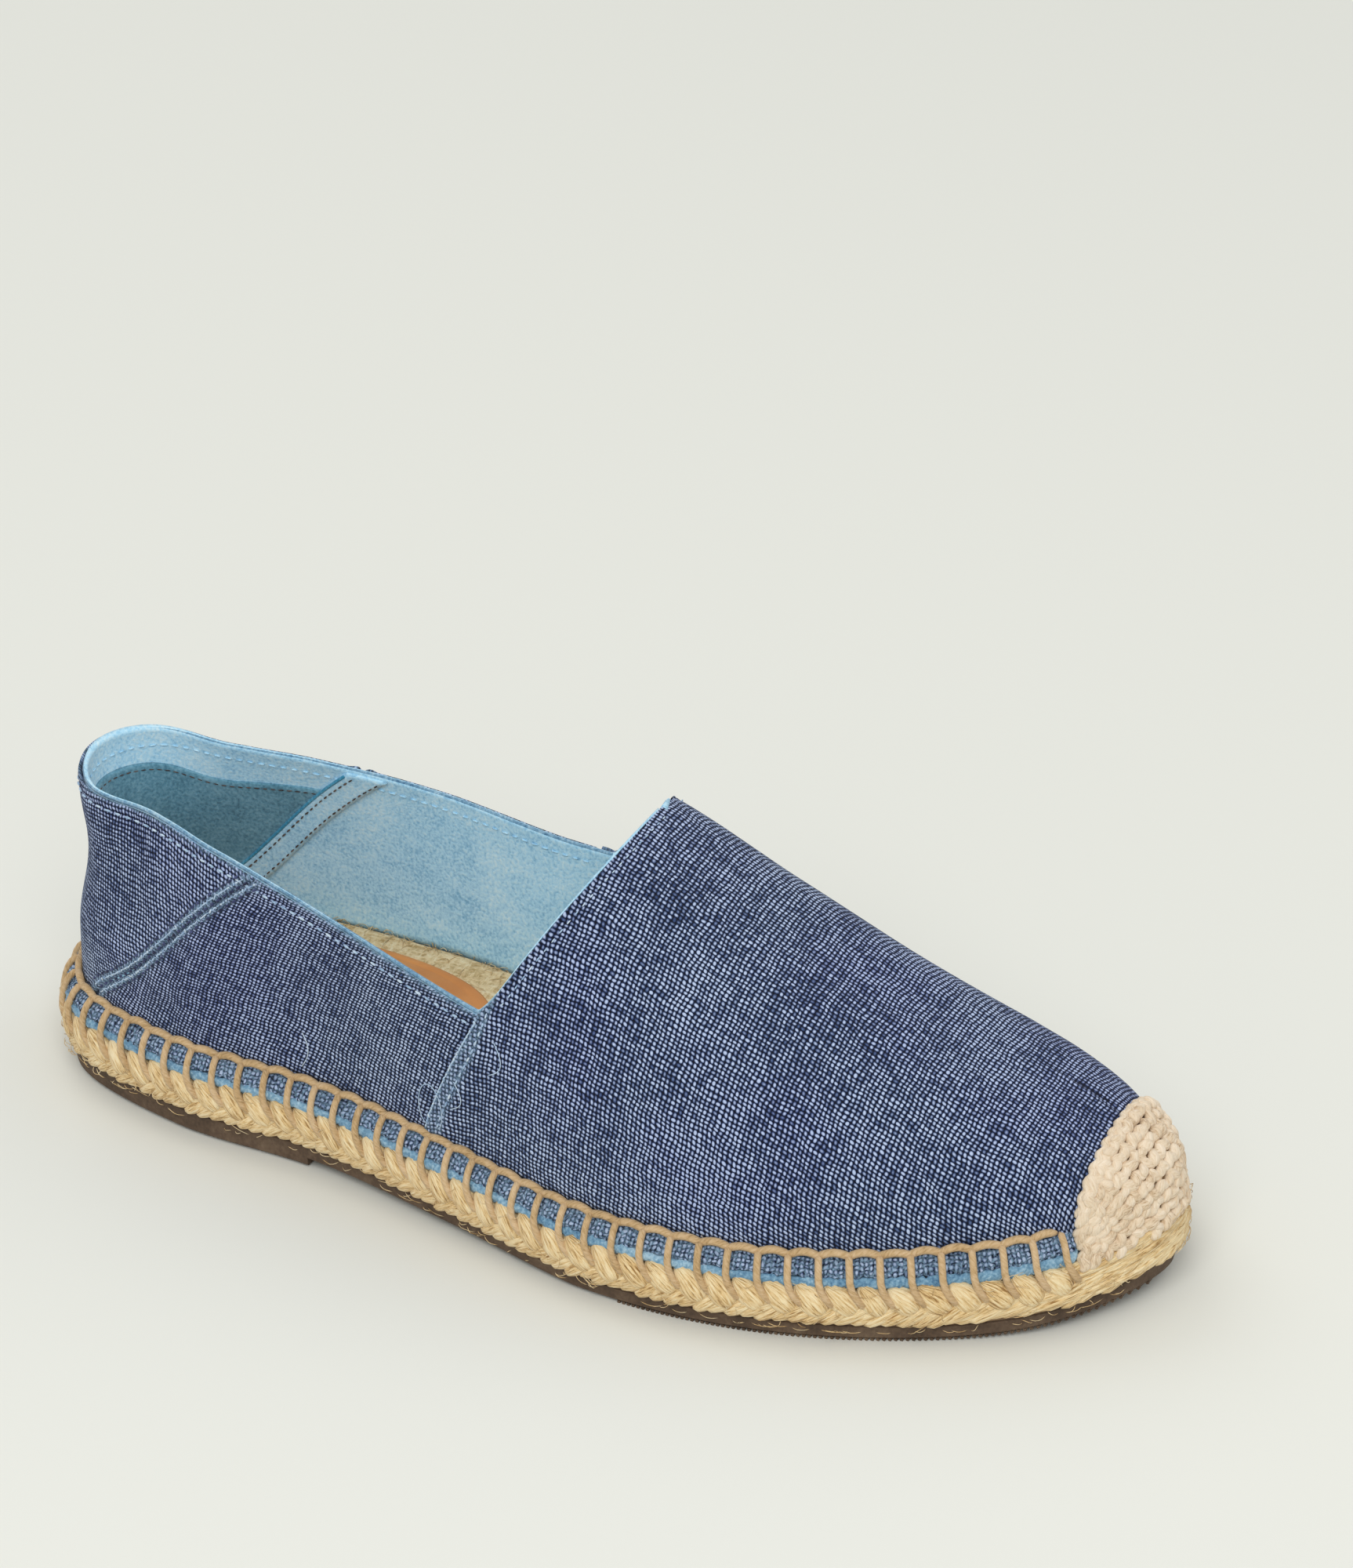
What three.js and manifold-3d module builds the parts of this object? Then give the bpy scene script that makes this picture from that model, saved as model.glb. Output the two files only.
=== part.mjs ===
// Espadrille, the right shoe of a pair, standing empty on its sole.
//
// Millimetres, +Z up. The toe points to -Y and the outer side of the foot is at -X.
// The origin is on the floor under the middle of the shoe's box.
//
// Five pieces, from the floor up:
//   outsole   moulded rubber, with a heel block, a raised waist and a turned-up toe
//   midsole   plaited rope sole with rounded sides and a sloping shoulder
//   insole    jute cloth inside the upper
//   upper     one hollow shell of lined canvas with a turned-out hem, open at the collar and below
//   toe_cap   crocheted cap that stands proud of the upper's toe

import * as THREE from "three";
import { mergeVertices } from "three/addons/utils/BufferGeometryUtils.js";
import Module from "manifold-3d";

// ---------------------------------------------------------------- driving sizes

const SOLE_LENGTH = 285;
const GAP = 0.3;                 // between neighbouring pieces
const WALL = 2;                  // canvas, lining and paste together

const OUTSOLE_TOP = 4;           // rubber thickness under the ball of the foot
const OUTSOLE_INSET = 3.4;       // rubber edge, in from the rope sole's outline
const OUTSOLE_CHAMFER = 0.5;
const HEEL_RISE = 2;             // how much thicker the rubber is under the heel
const HEEL_RISE_START = 90;      // in front of here the rubber thins towards the ball
const HEEL_BLOCK_END = 83;       // where the heel block steps up to the waist
const WAIST_RISE = 2.4;          // height of that step
const MID_WAIST_RISE = 1.9;      // clearance half way between the step and the ball
const BALL_START = 172;          // where the sole meets the floor again
const MIDSOLE_THICKNESS = 15;
const INSOLE_THICKNESS = 2;
const INSOLE_SOFTENING = 0.6;    // of its upper edge

const TOE_SPRING = 5;            // lift of the very tip
const SPRING_START = 235;

const CREASE_INSET = 5.7;        // where wall and hem meet, in from the rope sole's outline
const TOE_CREASE_INSET = 3.8;    // the same under the toe cap, where the wall stands further out
const TOE_CREASE_START = 258;
const CREASE_RISE = 1.5;         // height of that crease over the midsole
const CAP_THICKNESS = 2.5;
const CAP_START = 270;           // where the toe cap begins

const HEEL_TUCK = 2.4;           // how far the back of the heel draws in below the collar
const TUCK_HEIGHT = 57;
const TUCK_REACH = 20;           // above and below that height
const TUCK_END = 60;             // along the shoe, where the sides no longer draw in

const HEEL_POLE = 36;            // where the ribs of the heel and of the toe meet on the spine
const TOE_POLE = 246;

const SIDE_STEPS = 40;           // steps along each side of an outline
const RIB_STEPS = 13;            // steps up each rib of the upper
const DENSE_STEPS = 1800;        // round the curve that those steps are measured on
const COLLAR_STEPS = 24;
const THROAT_STEPS = 16;
const WAIST_STEPS = 10;
const MID_DISC = 0.5;            // where a flat disc has its middle ring
const WELD = 1e-4;               // points closer than this are one

// Half-widths of the rope sole at its widest level, either side of the shoe's centre line.
// along is measured from the back of the heel.
const SOLE_SECTIONS = [
  { section: "heel back", along: 10, outer: 24.5, inner: 21.5 },
  { section: "heel seat", along: 45, outer: 38, inner: 36.5 },
  { section: "back of waist", along: 85, outer: 40.5, inner: 37 },
  { section: "waist", along: 125, outer: 49, inner: 33.5 },
  { section: "outer ball", along: 165, outer: 57.5, inner: 41 },
  { section: "inner ball", along: 203, outer: 55.5, inner: 45 },
  { section: "toe joints", along: 240, outer: 42.5, inner: 44 },
  { section: "toes", along: 270, outer: 22.5, inner: 32 },
];
const HEEL_TIP = { along: 0, side: 0 };
const TOE_TIP = { along: SOLE_LENGTH, side: 8 };

// Side of the rope sole, from its bottom edge to its flat top.
// inset is in from the outline and height is over its bottom.
const MIDSOLE_PROFILE = [
  { level: "bottom edge", inset: 2.8, height: 0 },
  { level: "lower bulge", inset: 0.7, height: 2.4 },
  { level: "widest", inset: 0, height: 6.4 },
  { level: "upper bulge", inset: 0.8, height: 10.2 },
  { level: "ledge", inset: 2.4, height: 11.4 },
  { level: "under the hem", inset: 5.5, height: 13 },
  { level: "top edge", inset: 9, height: MIDSOLE_THICKNESS },
];

// Turned-out hem of the upper, and the skirt of the toe cap, both over the rope sole's bottom.
const HEM_PROFILE = [
  { level: "inside", inset: 9, height: 10 },
  { level: "hem underside", inset: 2.2, height: 10 },
  { level: "hem edge", inset: 2.2, height: 12.8 },
];
const SKIRT_PROFILE = [
  { level: "inside", inset: 9, height: 9 },
  { level: "skirt underside", inset: 0.4, height: 9 },
  { level: "skirt edge", inset: 0.3, height: 12 },
  { level: "skirt top", inset: 1.6, height: 15.5 },
];

// The last: height and side of its ridge, how full its ribs are (2 is an ellipse), and how far
// the inner wall swells over the arch. Behind the throat the ridge is above the collar, so only
// the sides of those ribs are kept.
const LAST_SECTIONS = [
  { section: "heel back", along: 0, ridge: 118, side: 0, fullness: 3.8, swell: 0 },
  { section: "heel side", along: 24, ridge: 98, side: 0, fullness: 2.0, swell: 0 },
  { section: "ankle", along: 55, ridge: 96, side: 0, fullness: 2.05, swell: 0 },
  { section: "waist", along: 90, ridge: 98, side: 4, fullness: 2.6, swell: 3 },
  { section: "collar corner", along: 125, ridge: 98, side: 10, fullness: 2.2, swell: 6 },
  { section: "throat", along: 151, ridge: 88.8, side: 13, fullness: 2.1, swell: 6 },
  { section: "instep", along: 180, ridge: 75.5, side: 12.5, fullness: 2.1, swell: 3 },
  { section: "ball", along: 210, ridge: 62.5, side: 12, fullness: 2.15, swell: 0 },
  { section: "toe box", along: 240, ridge: 50.5, side: 11, fullness: 2.3, swell: 0 },
  { section: "toes", along: 265, ridge: 42.3, side: 10, fullness: 2.6, swell: 0 },
  { section: "toe tip", along: 285, ridge: 37, side: 9, fullness: 2.8, swell: 0 },
];

// Side view of the collar's edge and of the throat's edge, from the heel forwards. tilt is how
// much higher the edge is for each millimetre towards the inner side.
const COLLAR_SECTIONS = [
  { section: "behind the heel", along: -20, height: 77, tilt: 0 },
  { section: "heel", along: 5, height: 77, tilt: 0 },
  { section: "heel side", along: 25, height: 75, tilt: 0 },
  { section: "ankle", along: 55, height: 71.5, tilt: 0 },
  { section: "waist", along: 90, height: 65.2, tilt: 0.02 },
  { section: "before the corner", along: 114, height: 61, tilt: 0.05 },
];
const THROAT_SECTIONS = [
  { section: "corner", along: 130, height: 58.5, tilt: 0.07 },
  { section: "lower throat", along: 134, height: 62.5, tilt: 0.05 },
  { section: "mid throat", along: 140, height: 71.5, tilt: 0.02 },
  { section: "upper throat", along: 146.5, height: 81.5, tilt: 0 },
  { section: "above the vamp", along: 158, height: 99, tilt: 0 },
];

const CUTTER_TOP = 160;
const CUTTER_BOTTOM = -5;
const CUTTER_FRONT = SOLE_LENGTH + 20;
const CUTTER_HALF_WIDTH = 90;
const SLIVER = 0.01;             // how far a cutter reaches past a face that it meets

const FINISHES = {
  rubber: { color: 0x4e4238, roughness: 0.8, metalness: 0 },
  rope: { color: 0xd6b87e, roughness: 0.95, metalness: 0 },
  jute_cloth: { color: 0xdcc28e, roughness: 0.95, metalness: 0 },
  canvas: { color: 0x4a5880, roughness: 0.9, metalness: 0 },
  crochet: { color: 0xdcc3a3, roughness: 0.95, metalness: 0 },
};

// ---------------------------------------------------------------- small helpers

const { clamp, lerp, smoothstep } = THREE.MathUtils;

const wasm = await Module();
wasm.setup();

/** Reads one column of a table of sections at a place between two rows, with smooth joins. */
function readColumn(rows, column, along) {
  const last = rows.length - 1;
  const place = clamp(along, rows[0].along, rows[last].along);
  let row = 0;
  while (row < last - 1 && rows[row + 1].along < place) row += 1;
  const slopeAt = (index) => {
    const before = rows[Math.max(index - 1, 0)];
    const after = rows[Math.min(index + 1, last)];
    return (after[column] - before[column]) / (after.along - before.along);
  };
  const span = rows[row + 1].along - rows[row].along;
  const t = (place - rows[row].along) / span;
  const rise = rows[row + 1][column] - rows[row][column];
  const startPull = span * slopeAt(row) - rise;
  const endPull = rise - span * slopeAt(row + 1);
  const blend = startPull * (1 - t) + endPull * t;
  return rows[row][column] + rise * t + t * (1 - t) * blend;
}

/** Points at equal steps along a dense line of points, its two ends among them. */
function evenSteps(points, steps) {
  const travelled = [0];
  for (let i = 1; i < points.length; i += 1) {
    travelled.push(travelled[i - 1] + points[i].distanceTo(points[i - 1]));
  }
  const spaced = [];
  let segment = 0;
  for (let step = 0; step <= steps; step += 1) {
    const target = (travelled.at(-1) * step) / steps;
    while (segment < points.length - 2 && travelled[segment + 1] < target) segment += 1;
    const share = (target - travelled[segment]) / (travelled[segment + 1] - travelled[segment]);
    spaced.push(points[segment].clone().lerp(points[segment + 1], clamp(share, 0, 1)));
  }
  return spaced;
}

// ---------------------------------------------------------------- the outline

/** The rope sole's outline in plan, as (side, along): heel, outer side, toe, inner side. */
function makeOutline() {
  const outer = SOLE_SECTIONS.map((row) => new THREE.Vector3(-row.outer, row.along, 0));
  const inner = SOLE_SECTIONS.map((row) => new THREE.Vector3(row.inner, row.along, 0)).reverse();
  const heel = new THREE.Vector3(HEEL_TIP.side, HEEL_TIP.along, 0);
  const toe = new THREE.Vector3(TOE_TIP.side, TOE_TIP.along, 0);
  const curve = new THREE.CatmullRomCurve3([heel, ...outer, toe, ...inner], true, "centripetal");
  const dense = curve.getPoints(DENSE_STEPS);
  const toeIndex = DENSE_STEPS / 2;
  const outerSide = evenSteps(dense.slice(0, toeIndex + 1), SIDE_STEPS);
  const innerSide = evenSteps(dense.slice(toeIndex), SIDE_STEPS);
  return [...outerSide.slice(0, -1), ...innerSide.slice(0, -1)];
}

const OUTLINE = makeOutline();
const COUNT = OUTLINE.length;
const OUTLINE_BOX = new THREE.Box3().setFromPoints(OUTLINE);
const CENTRE_SIDE = (OUTLINE_BOX.min.x + OUTLINE_BOX.max.x) / 2;

/** Inward direction in plan at each point of the outline. */
const INWARD = OUTLINE.map((point, i) => {
  const ahead = OUTLINE[(i + 1) % COUNT];
  const behind = OUTLINE[(i + COUNT - 1) % COUNT];
  const tangent = ahead.clone().sub(behind).normalize();
  return new THREE.Vector3(tangent.y, -tangent.x, 0);
});

/** A point of the shoe in the part's own frame. */
function place(side, along, height) {
  return new THREE.Vector3(side - CENTRE_SIDE, SOLE_LENGTH / 2 - along, height);
}

/** Lift of the rubber's underside over the floor at a place along the shoe. */
function toeSpring(along) {
  const share = Math.max(along - SPRING_START, 0) / (SOLE_LENGTH - SPRING_START);
  return TOE_SPRING * share * share;
}

/** Lift of everything on top of the rubber, which is thicker under the heel. */
function soleLift(along) {
  return toeSpring(along) + HEEL_RISE * (1 - smoothstep(along, HEEL_RISE_START, BALL_START));
}

/** One ring: the outline moved in by an inset, at a height over the lifted sole. */
function outlineRing(inset, height, lift = soleLift) {
  return OUTLINE.map((point, i) => {
    const moved = point.clone().addScaledVector(INWARD[i], inset);
    return place(moved.x, moved.y, height + lift(moved.y));
  });
}

/** Where each rib ends on the spine: the same place for the two ribs of a pair. */
const SPINE = OUTLINE.map((point, i) => {
  const pair = Math.min(i, COUNT - i);
  const middle = (OUTLINE[pair].y + OUTLINE[(COUNT - pair) % COUNT].y) / 2;
  const along = clamp(middle, HEEL_POLE, TOE_POLE);
  return new THREE.Vector3(readColumn(LAST_SECTIONS, "side", along), along, 0);
});

/** A ring part of the way from the outline to the spine; at 1 it has closed on the spine. */
function inwardRing(inset, height, share, lift) {
  return OUTLINE.map((point, i) => {
    const moved = point.clone().addScaledVector(INWARD[i], inset).lerp(SPINE[i], share);
    return place(moved.x, moved.y, height + lift(moved.y));
  });
}

/** The disc inside a ring, as two more rings: one half way in and one on the spine. */
function discRings(inset, height, lift = soleLift) {
  return [inwardRing(inset, height, MID_DISC, lift), inwardRing(inset, height, 1, lift)];
}

// ---------------------------------------------------------------- solids

/** A closed solid from a stack of rings, whose first and last rings have closed on the spine. */
function solidFromRings(rings) {
  const positions = rings.flat().flatMap((point) => [point.x, point.y, point.z]);
  const index = [];
  for (let level = 0; level < rings.length - 1; level += 1) {
    for (let i = 0; i < COUNT; i += 1) {
      const low = level * COUNT + i;
      const lowNext = level * COUNT + ((i + 1) % COUNT);
      index.push(low, lowNext, lowNext + COUNT, low, lowNext + COUNT, low + COUNT);
    }
  }
  const geometry = new THREE.BufferGeometry();
  geometry.setAttribute("position", new THREE.Float32BufferAttribute(positions, 3));
  geometry.setIndex(index);
  return toManifold(geometry);
}

/** Welds a three.js geometry and gives it to the boolean library. */
function toManifold(geometry) {
  const bare = geometry.clone();
  bare.deleteAttribute("normal");
  bare.deleteAttribute("uv");
  const welded = mergeVertices(bare, WELD);
  const corners = [...welded.index.array];
  const kept = [];
  for (let i = 0; i < corners.length; i += 3) {
    const [a, b, c] = corners.slice(i, i + 3);
    if (a !== b && b !== c && a !== c) kept.push(a, b, c);
  }
  const mesh = new wasm.Mesh({
    numProp: 3,
    vertProperties: new Float32Array(welded.attributes.position.array),
    triVerts: new Uint32Array(kept),
  });
  return new wasm.Manifold(mesh);
}

/** A named mesh with its finish, from a solid. */
function toMesh(name, solid, finish) {
  const { vertProperties, triVerts } = solid.getMesh();
  const geometry = new THREE.BufferGeometry();
  geometry.setAttribute("position", new THREE.BufferAttribute(new Float32Array(vertProperties), 3));
  geometry.setIndex(new THREE.BufferAttribute(new Uint32Array(triVerts), 1));
  geometry.computeVertexNormals();
  const mesh = new THREE.Mesh(geometry, new THREE.MeshStandardMaterial(FINISHES[finish]));
  mesh.name = name;
  return mesh;
}

/**
 * A side-view outline, as (along, height) points, pushed through the whole width of the shoe.
 * tiltRows, where given, lift it towards the inner side.
 */
function sideCutter(points, tiltRows) {
  const shape = new THREE.Shape(points);
  const geometry = new THREE.ExtrudeGeometry(shape, {
    depth: 2 * CUTTER_HALF_WIDTH,
    bevelEnabled: false,
    steps: 1,
  });
  // Shape x runs along the shoe and shape y is height, so the extrusion becomes the width.
  geometry.translate(0, 0, -CUTTER_HALF_WIDTH);
  const toFrame = new THREE.Matrix4().set(0, 0, -1, 0, -1, 0, 0, SOLE_LENGTH / 2, 0, 1, 0, 0, 0, 0, 0, 1);
  geometry.applyMatrix4(toFrame);
  if (tiltRows) {
    const position = geometry.attributes.position;
    for (let i = 0; i < position.count; i += 1) {
      const tilt = readColumn(tiltRows, "tilt", SOLE_LENGTH / 2 - position.getY(i));
      position.setZ(i, position.getZ(i) + tilt * position.getX(i));
    }
  }
  return toManifold(geometry);
}

// ---------------------------------------------------------------- the last

/** How far the back of the heel draws in at a height. */
function heelTuck(along, height) {
  const reach = clamp(Math.abs(height - TUCK_HEIGHT) / TUCK_REACH, 0, 1);
  const rearness = 1 - smoothstep(along, 0, TUCK_END);
  return HEEL_TUCK * rearness * (1 - reach * reach) ** 2;
}

/**
 * The upper's own surface. Each rib leaves the crease upright and closes on the ridge.
 * grow moves the whole surface out (or in, when negative).
 */
function lastPoint(i, angle, grow) {
  const foot = OUTLINE[i].clone().addScaledVector(INWARD[i], creaseInset(OUTLINE[i].y) - grow);
  const fullness = readColumn(LAST_SECTIONS, "fullness", OUTLINE[i].y);
  const inwards = 1 - Math.cos(angle) ** (2 / fullness);
  const upwards = Math.sin(angle) ** (2 / fullness);
  const at = foot.clone().lerp(SPINE[i], inwards);
  const crease = creaseHeight(foot.y);
  const ridge = readColumn(LAST_SECTIONS, "ridge", at.y) + grow;
  const height = crease + (ridge - crease) * upwards;
  const swell = i > SIDE_STEPS ? readColumn(LAST_SECTIONS, "swell", at.y) * Math.sin(2 * angle) : 0;
  at.addScaledVector(INWARD[i], heelTuck(foot.y, height) - swell);
  return place(at.x, at.y, height);
}

/** How far in from the rope sole's outline the crease runs. */
function creaseInset(along) {
  return lerp(CREASE_INSET, TOE_CREASE_INSET, smoothstep(along, TOE_CREASE_START, SOLE_LENGTH));
}

/** Height of the crease between the upper's wall and its hem. */
function creaseHeight(along) {
  return OUTSOLE_TOP + GAP + MIDSOLE_THICKNESS + CREASE_RISE + soleLift(along);
}

/** Rings from the crease up to the ridge. */
function wallRings(grow) {
  const rings = [];
  for (let step = 0; step <= RIB_STEPS; step += 1) {
    const angle = (Math.PI / 2) * (step / RIB_STEPS);
    rings.push(OUTLINE.map((point, i) => lastPoint(i, angle, grow)));
  }
  return rings;
}

/** A solid last: a profile at the bottom, then the upper's surface at a given growth. */
function lastSolid(profile, grow) {
  const base = OUTSOLE_TOP + GAP;
  const bottom = profile.map((row) => outlineRing(row.inset, base + row.height));
  const floor = discRings(profile[0].inset, base + profile[0].height).reverse();
  return solidFromRings([...floor, ...bottom, ...wallRings(grow)]);
}

/** The space inside the upper, reaching down through its open bottom. */
function insideSolid() {
  const inset = CREASE_INSET + WALL;
  const floor = discRings(inset, 0).reverse();
  return solidFromRings([...floor, outlineRing(inset, 0), ...wallRings(-WALL)]);
}

// ---------------------------------------------------------------- the pieces

/** Rope sole, or the room that it needs when clearance is more than nothing. */
function midsoleSolid(clearance) {
  const base = OUTSOLE_TOP + GAP;
  const rings = MIDSOLE_PROFILE.map((row, level) => {
    const lift = level === 0 ? -clearance : clearance;
    return outlineRing(row.inset - clearance, base + row.height + lift);
  });
  const bottom = MIDSOLE_PROFILE[0];
  const top = MIDSOLE_PROFILE.at(-1);
  const under = discRings(bottom.inset, base + bottom.height - clearance).reverse();
  const over = discRings(top.inset, base + top.height + clearance);
  return solidFromRings([...under, ...rings, ...over]);
}

/** Rubber sole: a sprung slab whose waist is cut up from the floor in front of the heel block. */
function outsoleSolid() {
  const bottomInset = OUTSOLE_INSET + OUTSOLE_CHAMFER;
  const rings = [
    ...discRings(bottomInset, 0, toeSpring).reverse(),
    outlineRing(bottomInset, 0, toeSpring),
    outlineRing(OUTSOLE_INSET, OUTSOLE_CHAMFER, toeSpring),
    outlineRing(OUTSOLE_INSET, OUTSOLE_TOP),
    ...discRings(OUTSOLE_INSET, OUTSOLE_TOP),
  ];
  const waist = new THREE.SplineCurve([
    new THREE.Vector2(HEEL_BLOCK_END, WAIST_RISE),
    new THREE.Vector2((HEEL_BLOCK_END + BALL_START) / 2, MID_WAIST_RISE),
    new THREE.Vector2(BALL_START, -SLIVER),
  ]);
  const points = [
    new THREE.Vector2(HEEL_BLOCK_END, CUTTER_BOTTOM),
    ...waist.getPoints(WAIST_STEPS),
    new THREE.Vector2(BALL_START, CUTTER_BOTTOM),
  ];
  return solidFromRings(rings).subtract(sideCutter(points));
}

/** Jute cloth inside the upper. */
function insoleSolid() {
  const inset = CREASE_INSET + WALL + GAP;
  const bottom = OUTSOLE_TOP + GAP + MIDSOLE_THICKNESS + GAP;
  const top = bottom + INSOLE_THICKNESS;
  return solidFromRings([
    ...discRings(inset, bottom).reverse(),
    outlineRing(inset, bottom),
    outlineRing(inset, top - INSOLE_SOFTENING),
    outlineRing(inset + INSOLE_SOFTENING, top),
    ...discRings(inset + INSOLE_SOFTENING, top),
  ]);
}

/** Everything above the collar and behind the throat. */
function collarCutter() {
  const edge = [...COLLAR_SECTIONS, ...THROAT_SECTIONS];
  const collar = new THREE.SplineCurve(
    COLLAR_SECTIONS.concat(THROAT_SECTIONS[0]).map((row) => new THREE.Vector2(row.along, row.height)),
  );
  const throat = new THREE.SplineCurve(
    THROAT_SECTIONS.map((row) => new THREE.Vector2(row.along, row.height)),
  );
  const points = [
    ...collar.getPoints(COLLAR_STEPS),
    ...throat.getPoints(THROAT_STEPS).slice(1),
    new THREE.Vector2(edge.at(-1).along, CUTTER_TOP),
    new THREE.Vector2(edge[0].along, CUTTER_TOP),
  ];
  return sideCutter(points, edge);
}

/** One hollow shell, open at the collar and underneath. */
function upperSolid() {
  return lastSolid(HEM_PROFILE, 0)
    .subtract(insideSolid())
    .subtract(collarCutter())
    .subtract(midsoleSolid(GAP));
}

/** The cap between two larger forms of the upper's own surface, in front of a cross line. */
function toeCapSolid() {
  const outer = lastSolid(SKIRT_PROFILE, GAP + CAP_THICKNESS);
  const clearance = HEM_PROFILE.map((row) => ({ ...row, inset: row.inset - GAP }));
  const inner = lastSolid(clearance, GAP);
  const front = sideCutter([
    new THREE.Vector2(CAP_START, 0),
    new THREE.Vector2(CUTTER_FRONT, 0),
    new THREE.Vector2(CUTTER_FRONT, CUTTER_TOP),
    new THREE.Vector2(CAP_START, CUTTER_TOP),
  ]);
  return outer.subtract(inner).intersect(front).subtract(midsoleSolid(GAP));
}

// ---------------------------------------------------------------- the shoe

const shoe = new THREE.Group();
shoe.add(toMesh("outsole", outsoleSolid(), "rubber"));
shoe.add(toMesh("midsole", midsoleSolid(0), "rope"));
shoe.add(toMesh("insole", insoleSolid(), "jute_cloth"));
shoe.add(toMesh("upper", upperSolid(), "canvas"));
shoe.add(toMesh("toe_cap", toeCapSolid(), "crochet"));

export default shoe;
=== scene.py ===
"""Espadrille, the right shoe of a pair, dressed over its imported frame.

A washed canvas upper with a suede lining is blanket-stitched with jute thread to a plaited jute
rope sole, with a crocheted cap at the toe, a jute insole with a leather heel patch, and a thin
moulded rubber sole. Sizes are in millimetres until a mesh is made, and along is measured from
the back of the heel towards the toe.
"""

from __future__ import annotations

import logging
from dataclasses import dataclass, field
from enum import Enum
from functools import partial

import bpy
import numpy as np
from mathutils import Matrix, Vector

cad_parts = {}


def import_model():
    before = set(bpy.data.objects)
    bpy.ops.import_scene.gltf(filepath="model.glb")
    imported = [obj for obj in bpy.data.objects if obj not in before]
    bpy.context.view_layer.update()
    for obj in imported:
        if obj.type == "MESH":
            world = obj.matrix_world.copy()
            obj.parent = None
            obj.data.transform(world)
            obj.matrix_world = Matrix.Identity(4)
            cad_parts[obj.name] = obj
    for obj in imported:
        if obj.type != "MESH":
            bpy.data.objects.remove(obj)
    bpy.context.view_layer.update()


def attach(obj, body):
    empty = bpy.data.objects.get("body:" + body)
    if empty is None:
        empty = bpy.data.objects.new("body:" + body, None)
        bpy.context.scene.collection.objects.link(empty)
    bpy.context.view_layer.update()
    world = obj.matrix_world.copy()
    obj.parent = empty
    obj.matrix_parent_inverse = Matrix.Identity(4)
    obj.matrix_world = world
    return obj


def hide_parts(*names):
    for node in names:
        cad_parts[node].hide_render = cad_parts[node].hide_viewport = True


LOG = logging.getLogger("espadrille")
MM = 0.001
SOLE_LENGTH = 285.0
ROPE_FOOT = 4.3


# ---------------------------------------------------------------- shared helpers


class Slot(Enum):
    """Material slots of the pieces."""

    RUBBER = "outsole_rubber"
    ROPE = "jute_rope"
    CLOTH = "jute_cloth"
    CANVAS = "canvas"
    CROCHET = "crochet_yarn"
    SUEDE = "suede_lining"
    JUTE_THREAD = "jute_thread"
    SEWING = "sewing_thread"
    PATCH = "patch_leather"


def linear(code: str, alpha: float = 1.0) -> tuple[float, float, float, float]:
    """Turns an sRGB hex colour to linear.

    Args:
        code: Six hex digits, with or without a leading #.
        alpha: Fourth value of the result.

    Returns:
        Linear red, green and blue, and alpha.
    """
    digits = code.lstrip("#")
    values = [int(digits[i : i + 2], 16) / 255 for i in (0, 2, 4)]
    low = [v / 12.92 if v <= 0.04045 else ((v + 0.055) / 1.055) ** 2.4 for v in values]
    return (low[0], low[1], low[2], alpha)


def add_node(
    tree: bpy.types.NodeTree,
    kind: str,
    settings: dict | None = None,
    links: dict | None = None,
) -> bpy.types.Node:
    """Adds a node with its settings and links.

    Args:
        tree: Node tree that gets the node.
        kind: Blender's name of the node type.
        settings: Properties by name, and input values by socket name or number.
        links: Input socket name or number to the node or socket that feeds it.

    Returns:
        The new node.
    """
    node = tree.nodes.new(kind)
    settings = settings or {}
    for key, value in settings.items():
        if isinstance(key, str) and hasattr(node, key):
            setattr(node, key, value)
    for key, value in settings.items():
        if isinstance(key, int) or not hasattr(node, key):
            node.inputs[key].default_value = value
    for key, source in (links or {}).items():
        socket = source.outputs[0] if isinstance(source, bpy.types.Node) else source
        tree.links.new(socket, node.inputs[key])
    return node


def smoothstep(value: np.ndarray, low: float, high: float) -> np.ndarray:
    """Eases from 0 at low to 1 at high."""
    share = np.clip((value - low) / (high - low), 0.0, 1.0)
    return share * share * (3 - 2 * share)


def unit(vectors: np.ndarray) -> np.ndarray:
    """Scales vectors to length 1."""
    return vectors / np.maximum(np.linalg.norm(vectors, axis=-1, keepdims=True), 1e-12)


def travelled(points: np.ndarray) -> np.ndarray:
    """Distance gone along a line of points, at each point."""
    steps = np.linalg.norm(np.diff(points, axis=0), axis=1)
    return np.concatenate([[0.0], np.cumsum(steps)])


def sample(values: np.ndarray, gone: np.ndarray, at: np.ndarray) -> np.ndarray:
    """Reads points or directions along a line at distances gone."""
    return np.stack([np.interp(at, gone, values[:, k]) for k in range(values.shape[1])], -1)


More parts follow.
